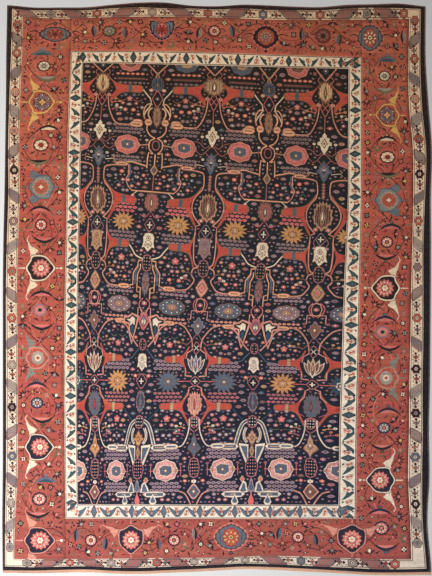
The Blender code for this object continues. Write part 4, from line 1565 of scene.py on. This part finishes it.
def lesser_column(first, second, third, fourth, drop):
    """One of the two columns between the main ones, from the head down."""
    return LESSER_VINES + drawn(
        (jewel, 0, 236, DROP, 8, 14, FAWN, UMBER),
        (striped, 0, 262, 19, 23, STORM, first, NIGHT, FAWN),
        (cage, 0, 306, LOZENGE, 17, 26, PINK), (blossom, 0, 306, 5, STORM),
        (striped, 0, 360, 13, 34, UMBER, FAWN, UMBER, AMBER),
        (cage, 0, 448, HEXAGON, 12, 16, BERRY), (vine, APRICOT, [(0, 474), (0, 516)], line),
        (jewel, 0, 524, LOZENGE, 12, 16, FAWN, UMBER, STORM), (line, BERRY, [(0, 540), (0, 590)]),
        (striped, 0, 622, 22, 31, UMBER, second, UMBER, CREAM),
        (crossed, 0, 690, 17, 21, BERRY, CREAM, (8, 0), (0, 10), 3.2),
        (helmeted, 0, 741, 19, 27, CREAM, UMBER), (seeded, 0, 802, 16, 26, 3, 4, BERRY, FAWN),
        (striped, 0, 862, 12, 37, STORM, third, UMBER, COPPER), (blossom, 0, 920, 6.5, BERRY),
        (crowned, 0, 973, LOZENGE, 17, 26, PINK, BERRY, PLUM, CREAM),
        (seeded, 0, 1040, 12, 18, 2, 3, BERRY, FAWN), (helmeted, 0, 1092, 16, 25, CREAM, PLUM),
        (crossed, 0, 1147, 18, 23, BERRY, CREAM, (7, 0), (0, 8)),
        (striped, 0, 1206, 15, 33, PLUM, fourth, NIGHT, PLUM),
        (seeded, 0, 1266, 15, 20, 3, 3, BERRY, CREAM),
        (jewel, 0, 1316, STEPPED, 18, 27, UMBER, drop, drop, UMBER, drop),
        (jewel, 0, 1356, LOZENGE, 8, 24, UMBER, drop, UMBER), (seeded, 0, 1404, 19, 33, 4, 5, BERRY, PEACH),
        (jewel, 0, 1461, BELL, 12, 24, HEATHER, STORM, STORM),
        (jewel, 0, 1497, DROP, 9, 20, PINK, COPPER, PINK),
    )


# The small flowers of a strip between two columns.
STRIP_BLOSSOMS = paired(drawn(
    (blossom, 30, 284, 4.4, BERRY), (blossom, 13, 296, 5, STORM, BERRY),
    (curl, BERRY, [(10, 310), (26, 316), (38, 309)], FINE), (blossom, 20, 322, 4.6, BERRY),
    (blossom, 38, 334, 5, PLUM), (blossom, 12, 342, 5.4, COPPER), (blossom, 28, 356, 4.8, BERRY),
    (blossom, 7, 370, 4.6, PLUM, PINK), (blossom, 12, 533, 5.4, COPPER), (blossom, 30, 546, 5, STORM),
    (blossom, 8, 558, 5, BERRY), (line, STORM, [(14, 570), (24, 562), (34, 570)], 2.4),
    (blossom, 20, 576, 5, BERRY), (blossom, 6, 590, 4.6, PLUM), (blossom, 24, 604, 4.8, BERRY),
    (blossom, 14, 768, 5.2, STORM, BERRY), (blossom, 32, 782, 4.6, BERRY),
    (line, MOSS, [(4, 800), (15, 793), (24, 802)], FINE), (blossom, 20, 806, 5, PLUM),
    (blossom, 8, 820, 5, BERRY), (blossom, 30, 832, 4.6, PLUM, PINK), (blossom, 14, 846, 5, COPPER),
    (blossom, 14, 992, 5, BERRY), (blossom, 32, 1006, 4.8, STORM),
    (line, MOSS, [(4, 1014), (14, 1020), (24, 1014)], FINE), (blossom, 16, 1028, 5, PLUM),
    (blossom, 32, 1042, 4.6, BERRY), (blossom, 12, 1058, 4.8, PLUM, PINK), (blossom, 28, 1070, 4.6, BERRY),
    (blossom, 14, 1232, 5, PLUM), (blossom, 32, 1246, 4.8, BERRY), (blossom, 16, 1276, 5, BERRY),
    (line, MOSS, [(6, 1288), (20, 1290), (34, 1286)], FINE), (blossom, 30, 1294, 5, STORM),
    (blossom, 9, 1306, 5, PLUM), (blossom, 24, 1318, 4.8, BERRY), (blossom, 6, 1332, 4.4, PLUM),
    (line, PINK, [(36, 1411), (48, 1411)], FINE), (blossom, 44, 1392, 3.6, BERRY, NIGHT),
    (line, PINK, [(44, 1396), (44, 1428)], FINE), (blossom, 24, 1484, 4.8, PLUM),
    (blossom, 9, 1500, 4.8, BERRY),
))


def flower_strip(half_rosette, oval, last):
    """The flowers of the strip between two columns, from the head down."""
    return STRIP_BLOSSOMS + drawn(
        (great_rosette, 0, 198, 36, 27, *half_rosette), (flower_row, 0, 231, 6, 15, COPPER, CREAM, 4.8),
        (chain, 0, 246, 6, 14, UMBER, BERRY), (flower_row, 0, 259, 5, 15, PLUM, UMBER, 4.6),
        (star, 0, 308, 10), (flower_rows, 0, 401, 3, 6, 14, PLUM, NIGHT),
        (flower_rows, 0, 493, 2, 6, 14, PLUM, NIGHT),
        (great_rosette, 0, 450, 38, 31, PEACH, PINK, STORM, CREAM),
        (flower_rows, 0, 641, 3, 5, 15, PINK, UMBER, 5.6), (starburst, 0, 684, 36, 30, AMBER, UMBER),
        (flower_rows, 0, 727, 3, 6, 14, PLUM, UMBER), (star, 0, 790, 12),
        (flower_rows, 0, 883, 2, 6, 14, HEATHER, UMBER),
        (beaded, 0, 926, 41, 25, oval, CREAM, AMBER),
        (flower_rows, 0, 966, 2, 7, 13, PEACH, UMBER, 4.4), (star, 0, 1038, 11),
        (flower_rows, 0, 1098, 3, 6, 14.5, HEATHER, NIGHT, 5.8),
        (starburst, 0, 1147, 37, 34, last, UMBER), (flower_rows, 0, 1193, 3, 6, 14, BERRY, UMBER, 5),
        (star, 0, 1257, 12), (flower_rows, 0, 1362, 3, 6, 14.5, HEATHER, NIGHT, 5.8),
        (great_rosette, 0, 1411, 37, 34, CREAM, PALE_ROSE, STORM, CREAM),
        (flower_rows, 0, 1461, 3, 6, 14.5, HEATHER, NIGHT, 5.8),
    )


field_design = []
ROSE_HALF, SLATE_HALF = (PEACH, PINK, UMBER, AMBER), (STORM, STORM, FAWN, AMBER)
OUTER_STRIP, INNER_STRIP = (ROSE_HALF, PLUM, AMBER), (SLATE_HALF, STORM, STORM)
for across, wools in zip(BETWEEN_COLUMNS, (OUTER_STRIP, INNER_STRIP, INNER_STRIP, OUTER_STRIP)):
    field_design += placed(flower_strip(*wools), across, 0)
FIELD_EDGE = drawn(
    (great_rosette, 0, 450, 34, 31, PEACH, PINK, STORM, CREAM), (starburst, 0, 682, 26, 26, AMBER, UMBER),
    (beaded, 0, 926, 32, 25, STORM, CREAM, AMBER), (starburst, 0, 1147, 28, 33, PETROL, CREAM),
    (great_rosette, 0, 1411, 34, 34, CREAM, PALE_ROSE, STORM, CREAM),
)
for across, flip in ((FIELD_LEFT, 1), (FIELD_RIGHT, -1)):
    field_design += placed(FIELD_EDGE, across, 0, flip=flip)
field_design += placed(lesser_column(STORM, BERRY, PLUM, STORM, AMBER), COLUMNS[1], 0)
field_design += placed(lesser_column(STORM, BERRY, BERRY, STORM, FAWN), COLUMNS[3], 0)
AMBER_TULIP, BROWN_TULIP = (22, 34, UMBER, AMBER, CREAM, AMBER), (33, 29, UMBER, FAWN, MOSS, CREAM)
for across, *wools in (
    (COLUMNS[0], AMBER_TULIP, FAWN, UMBER, FAWN, UMBER, STORM, AMBER, UMBER),
    (COLUMNS[2], BROWN_TULIP, PLUM, UMBER, PEACH, STORM, PEACH, STORM, STORM),
    (COLUMNS[4], AMBER_TULIP, CREAM, UMBER, FAWN, UMBER, STORM, FAWN, UMBER),
):
    field_design += placed(palmette_column(*wools), across, 0)

# Rows of little blossoms fill the midnight wool wherever the great flowers left it room.
FILLING_WOOLS = (
    (HEATHER, UMBER), (BERRY, CREAM), (PLUM, NIGHT), (HEATHER, BERRY), (PLUM, CREAM), (UMBER, PLUM),
    (HEATHER, UMBER), (STORM, HEATHER), (BERRY, UMBER), (FAWN, UMBER), (PLUM, PINK),
)


def filling_blossom(count):
    """A little oval blossom with a heart, on a stalk."""
    outer, heart = FILLING_WOOLS[(7 * count) % 11]
    stalk = line(UMBER, [(-10.5, 1), (10.5, 1)], 1.5)
    return stalk + bead(8, 5.2, outer) + patch(heart, (0, -2.2), (3, 0), (0, 2.2), (-3, 0))


def filling_seed(count):
    """A bud between the blossoms."""
    return patch(FILLING_WOOLS[(5 * count) % 11][0], (0, -2.8), (4, 0), (0, 2.8), (-4, 0))


taken = knots_taken(field_design)
field_design += filled_in(taken, [FIELD_STRIP], filling_blossom, wide=12, tall=9, most=1600, step=4)
field_design += filled_in(taken, [FIELD_STRIP], filling_seed, wide=6, tall=5, most=1800, step=3)

FIELD_WAIST = 856
for name, head, foot in (("field_head", FIELD_HEAD, FIELD_WAIST), ("field_foot", FIELD_WAIST, FIELD_FOOT)):
    half = knotted(name, [(FIELD_LEFT, head, FIELD_RIGHT, foot)], field_design, NIGHT, FIELD_LINES)
    half.data.materials.append(
        spun_wool(name + "_wool", streak=0.14, mottle=0.16, tuft_depth=0.9 * MM, sheen=0.25)
    )
    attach(half, "root")
    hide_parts("rug_pile")




# ---- The selvedges ----
# Each long side is finished while the carpet is on the loom: a bundle of warps is overcast with brown
# wool, turn beside turn, into a firm cord that lies against the outer knots.

SELVEDGE_HEIGHT = 8 * MM
WRAP_PITCH = 5.2 * MM
RINGS_PER_WRAP = 4
CORD_SIDES = 12
GROOVE_DEPTH, WRAP_LEAN = 0.13, 0.3
# Of every so many turns of wool, this many are of a lighter lot.
LIGHT_TURNS, TURNS = 3, 11
SELVEDGE_WOOL = yarn((86, 58, 50), (92, 66, 64), (84, 66, 70), (96, 70, 66))
SELVEDGE_LIGHT = yarn((128, 96, 84), (120, 96, 94), (130, 108, 106))


def overcast_cord(name, node, side):
    """A cord of overcasting: each turn of wool swells between the grooves and leans a little."""
    column = LEFT if side < 0 else RIGHT
    rings = int((FOOT - HEAD) * KNOT / WRAP_PITCH * RINGS_PER_WRAP)
    down = np.linspace(HEAD, FOOT, rings + 1)
    path = on_floor(np.full(rings + 1, float(column)), down, FRAME_LINES)
    half_width, half_height = SELVEDGE_WIDTH / 2, SELVEDGE_HEIGHT / 2
    points, faces, shades = [], [], []
    for ring, (x, y) in enumerate(path):
        swell = 1 - GROOVE_DEPTH * abs(cos(pi * ring / RINGS_PER_WRAP))
        middle = x + side * (CLEARANCE + half_width)
        for corner in range(CORD_SIDES):
            angle = tau * corner / CORD_SIDES
            lean = WRAP_LEAN * WRAP_PITCH * sin(angle)
            across = half_width * swell * sin(angle)
            up = half_height * (1 - swell * cos(angle))
            points.append((middle + across, y + lean * side, max(0.0, up)))
        if ring == rings:
            continue
        wool = SELVEDGE_LIGHT if (ring // RINGS_PER_WRAP * 7) % TURNS < LIGHT_TURNS else SELVEDGE_WOOL
        station = int(ring / rings * (DYE_STATIONS - 1))
        for corner in range(CORD_SIDES):
            beside = (corner + 1) % CORD_SIDES
            a, b = ring * CORD_SIDES + corner, ring * CORD_SIDES + beside
            faces.append((a, a + CORD_SIDES, b + CORD_SIDES, b))
            shades.append(wool[station])
    last = rings * CORD_SIDES
    faces.append(tuple(range(CORD_SIDES)))
    faces.append(tuple(reversed(range(last, last + CORD_SIDES))))
    shades += [wool[0], wool[-1]]
    cord = dyed_cloth(name, points, faces, np.array(shades), smooth=len(faces))
    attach(cord, "root")
    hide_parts(node)
    return cord


overcasting = spun_wool(
    "overcasting_wool", streak=0.18, mottle=0.16, tuft=1.4 * MM, tuft_depth=0.4 * MM, sheen=0.2
)
selvedges = [
    overcast_cord("overcast_left", "selvedge_left", -1),
    overcast_cord("overcast_right", "selvedge_right", 1),
]
for cord in selvedges:
    cord.data.materials.append(overcasting)


# ---- The kilim ends ----
# The carpet starts and ends with a narrow flat-woven band of undyed and madder wool. Its wefts are
# packed over the warps in fine ribs, and its outer edge is worn uneven.

KILIM_THICKNESS = 2.5 * MM
KILIM_RIBS = 5
KILIM_STEP = 3
RIB_GROOVE = 0.82
# Of every so many crossings of warp and weft, this many show salmon wool and the rest tan.
SALMON_CROSSINGS, CROSSINGS = 9, 13
KILIM_SALMON = yarn((120, 76, 70), (150, 104, 88), (205, 158, 132))
KILIM_TAN = yarn((96, 66, 60), (140, 110, 92), (196, 160, 138))


def flat_weave(name, node, row, outer_line, side):
    """A flat-woven band from the last knots to its worn edge, its ribs running the carpet's width."""
    steps = int((RIGHT - LEFT) / KILIM_STEP)
    across = np.linspace(LEFT, RIGHT, steps + 1)
    inner = on_floor(across, np.full(steps + 1, float(row)), FRAME_LINES)
    inner[0, 0] -= SELVEDGE_STRIP
    inner[-1, 0] += SELVEDGE_STRIP
    outer_y = along(outer_line, share_of(inner[:, 0] + MIDDLE[0], END_REACH)) - MIDDLE[1]
    rows = 2 * KILIM_RIBS + 1
    points, faces, shades = [], [], []
    for step in range(steps + 1):
        x, y = inner[step]
        start = y + side * CLEARANCE
        for rib in range(rows):
            reach = start + (outer_y[step] - start) * rib / (rows - 1)
            ridge = KILIM_THICKNESS * (RIB_GROOVE if rib % 2 == 0 else 1.0)
            ridge *= 0.97 + 0.03 * cos(pi * step)
            points.append((x, reach, ridge))
        points.append((x, outer_y[step], 0.0))
        points.append((x, start, 0.0))
    ring = rows + 2
    for step in range(steps):
        for corner in range(ring):
            beside = (corner + 1) % ring
            a, b = step * ring + corner, step * ring + beside
            faces.append((a, b, b + ring, a + ring) if side < 0 else (a, a + ring, b + ring, b))
            salmon = (step * 5 + corner * 3) % CROSSINGS < SALMON_CROSSINGS
            wool = KILIM_SALMON if salmon else KILIM_TAN
            shades.append(wool[0 if side > 0 else -1])
    last = steps * ring
    ends = [tuple(range(ring)), tuple(reversed(range(last, last + ring)))]
    faces += ends if side > 0 else [end[::-1] for end in ends]
    shades += [shades[0], shades[-1]]
    band = dyed_cloth(name, points, faces, np.array(shades), smooth=0)
    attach(band, "root")
    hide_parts(node)
    return band


flat_weave_wool = spun_wool(
    "flat_weave_wool", streak=0.12, mottle=0.12, tuft=1.6 * MM, tuft_depth=0.4 * MM, sheen=0.15
)
kilims = [
    flat_weave("kilim_head", "kilim_end_head", HEAD, HEAD_KILIM, 1),
    flat_weave("kilim_foot", "kilim_end_foot", FOOT, FOOT_KILIM, -1),
]
for band in kilims:
    band.data.materials.append(flat_weave_wool)


# ---- The whole cloth ----
# Foundation, pile, overcasting and flat-woven ends are one cloth, laid flat.


# ---- The floor, the light and the camera ----
# A plain pale floor, a large soft lamp to the left of the carpet and a weak one over it. The camera
# looks straight down, from as far off as the whole length needs.

FLOOR_SIZE, FLOOR_DROP = 14.0, 0.5 * MM
mesh = bpy.data.meshes.new("floor")
half = FLOOR_SIZE / 2
mesh.from_pydata([(-half, -half, 0), (half, -half, 0), (half, half, 0), (-half, half, 0)], [], [(0, 1, 2, 3)])
floor = bpy.data.objects.new("floor", mesh)
floor.location.z = -FLOOR_DROP
bpy.context.scene.collection.objects.link(floor)
plaster = bpy.data.materials.new("pale_floor")
plaster.use_nodes = True
tree = plaster.node_tree
plaster_shader = tree.nodes["Principled BSDF"]
grain, tone = tree.nodes.new("ShaderNodeTexNoise"), tree.nodes.new("ShaderNodeMapRange")
grain.inputs["Scale"].default_value = 9.0
grain.inputs["Detail"].default_value = 5.0
tone.inputs["To Min"].default_value = 0.6
tone.inputs["To Max"].default_value = 0.66
tree.links.new(grain.outputs["Fac"], tone.inputs["Value"])
tree.links.new(tone.outputs[0], plaster_shader.inputs["Base Color"])
plaster_shader.inputs["Roughness"].default_value = 0.8
floor.data.materials.append(plaster)

LAMPS = (
    ("side_lamp", (-3.2, -2.0, 5.2), 3.2, 540.0, (1.0, 0.985, 0.965)),
    ("overhead_fill", (0.6, 0.5, 6.5), 5.0, 30.0, (1.0, 0.97, 0.93)),
)
for name, place, size, power, colour in LAMPS:
    lamp = bpy.data.lights.new(name, "AREA")
    lamp.shape = "SQUARE"
    lamp.size = size
    lamp.energy = power
    lamp.color = colour
    holder = bpy.data.objects.new(name, lamp)
    holder.location = place
    holder.rotation_euler = (-Vector(place)).to_track_quat("-Z", "Y").to_euler()
    bpy.context.scene.collection.objects.link(holder)

world = bpy.data.worlds.new("soft_surround")
world.use_nodes = True
world.node_tree.nodes["Background"].inputs["Color"].default_value = (0.95, 0.97, 1.0, 1.0)
world.node_tree.nodes["Background"].inputs["Strength"].default_value = 0.13
bpy.context.scene.world = world

PICTURE_HEIGHT = 4.147
PICTURE_MIDDLE = np.array((-5.8 * MM, 6.5 * MM))
CAMERA_HEIGHT = 7.0
SENSOR, FARTHEST_SEEN = 36.0, 40.0
camera = bpy.data.objects.new("camera", bpy.data.cameras.new("camera"))
camera.location = (*(PICTURE_MIDDLE - MIDDLE), CAMERA_HEIGHT)
camera.data.sensor_fit = "VERTICAL"
camera.data.sensor_height = SENSOR
camera.data.lens = SENSOR * (CAMERA_HEIGHT - CARPET_THICKNESS) / PICTURE_HEIGHT
camera.data.clip_end = FARTHEST_SEEN
bpy.context.scene.collection.objects.link(camera)
bpy.context.scene.camera = camera
bpy.context.scene.view_settings.view_transform = "Standard"

bpy.context.view_layer.update()
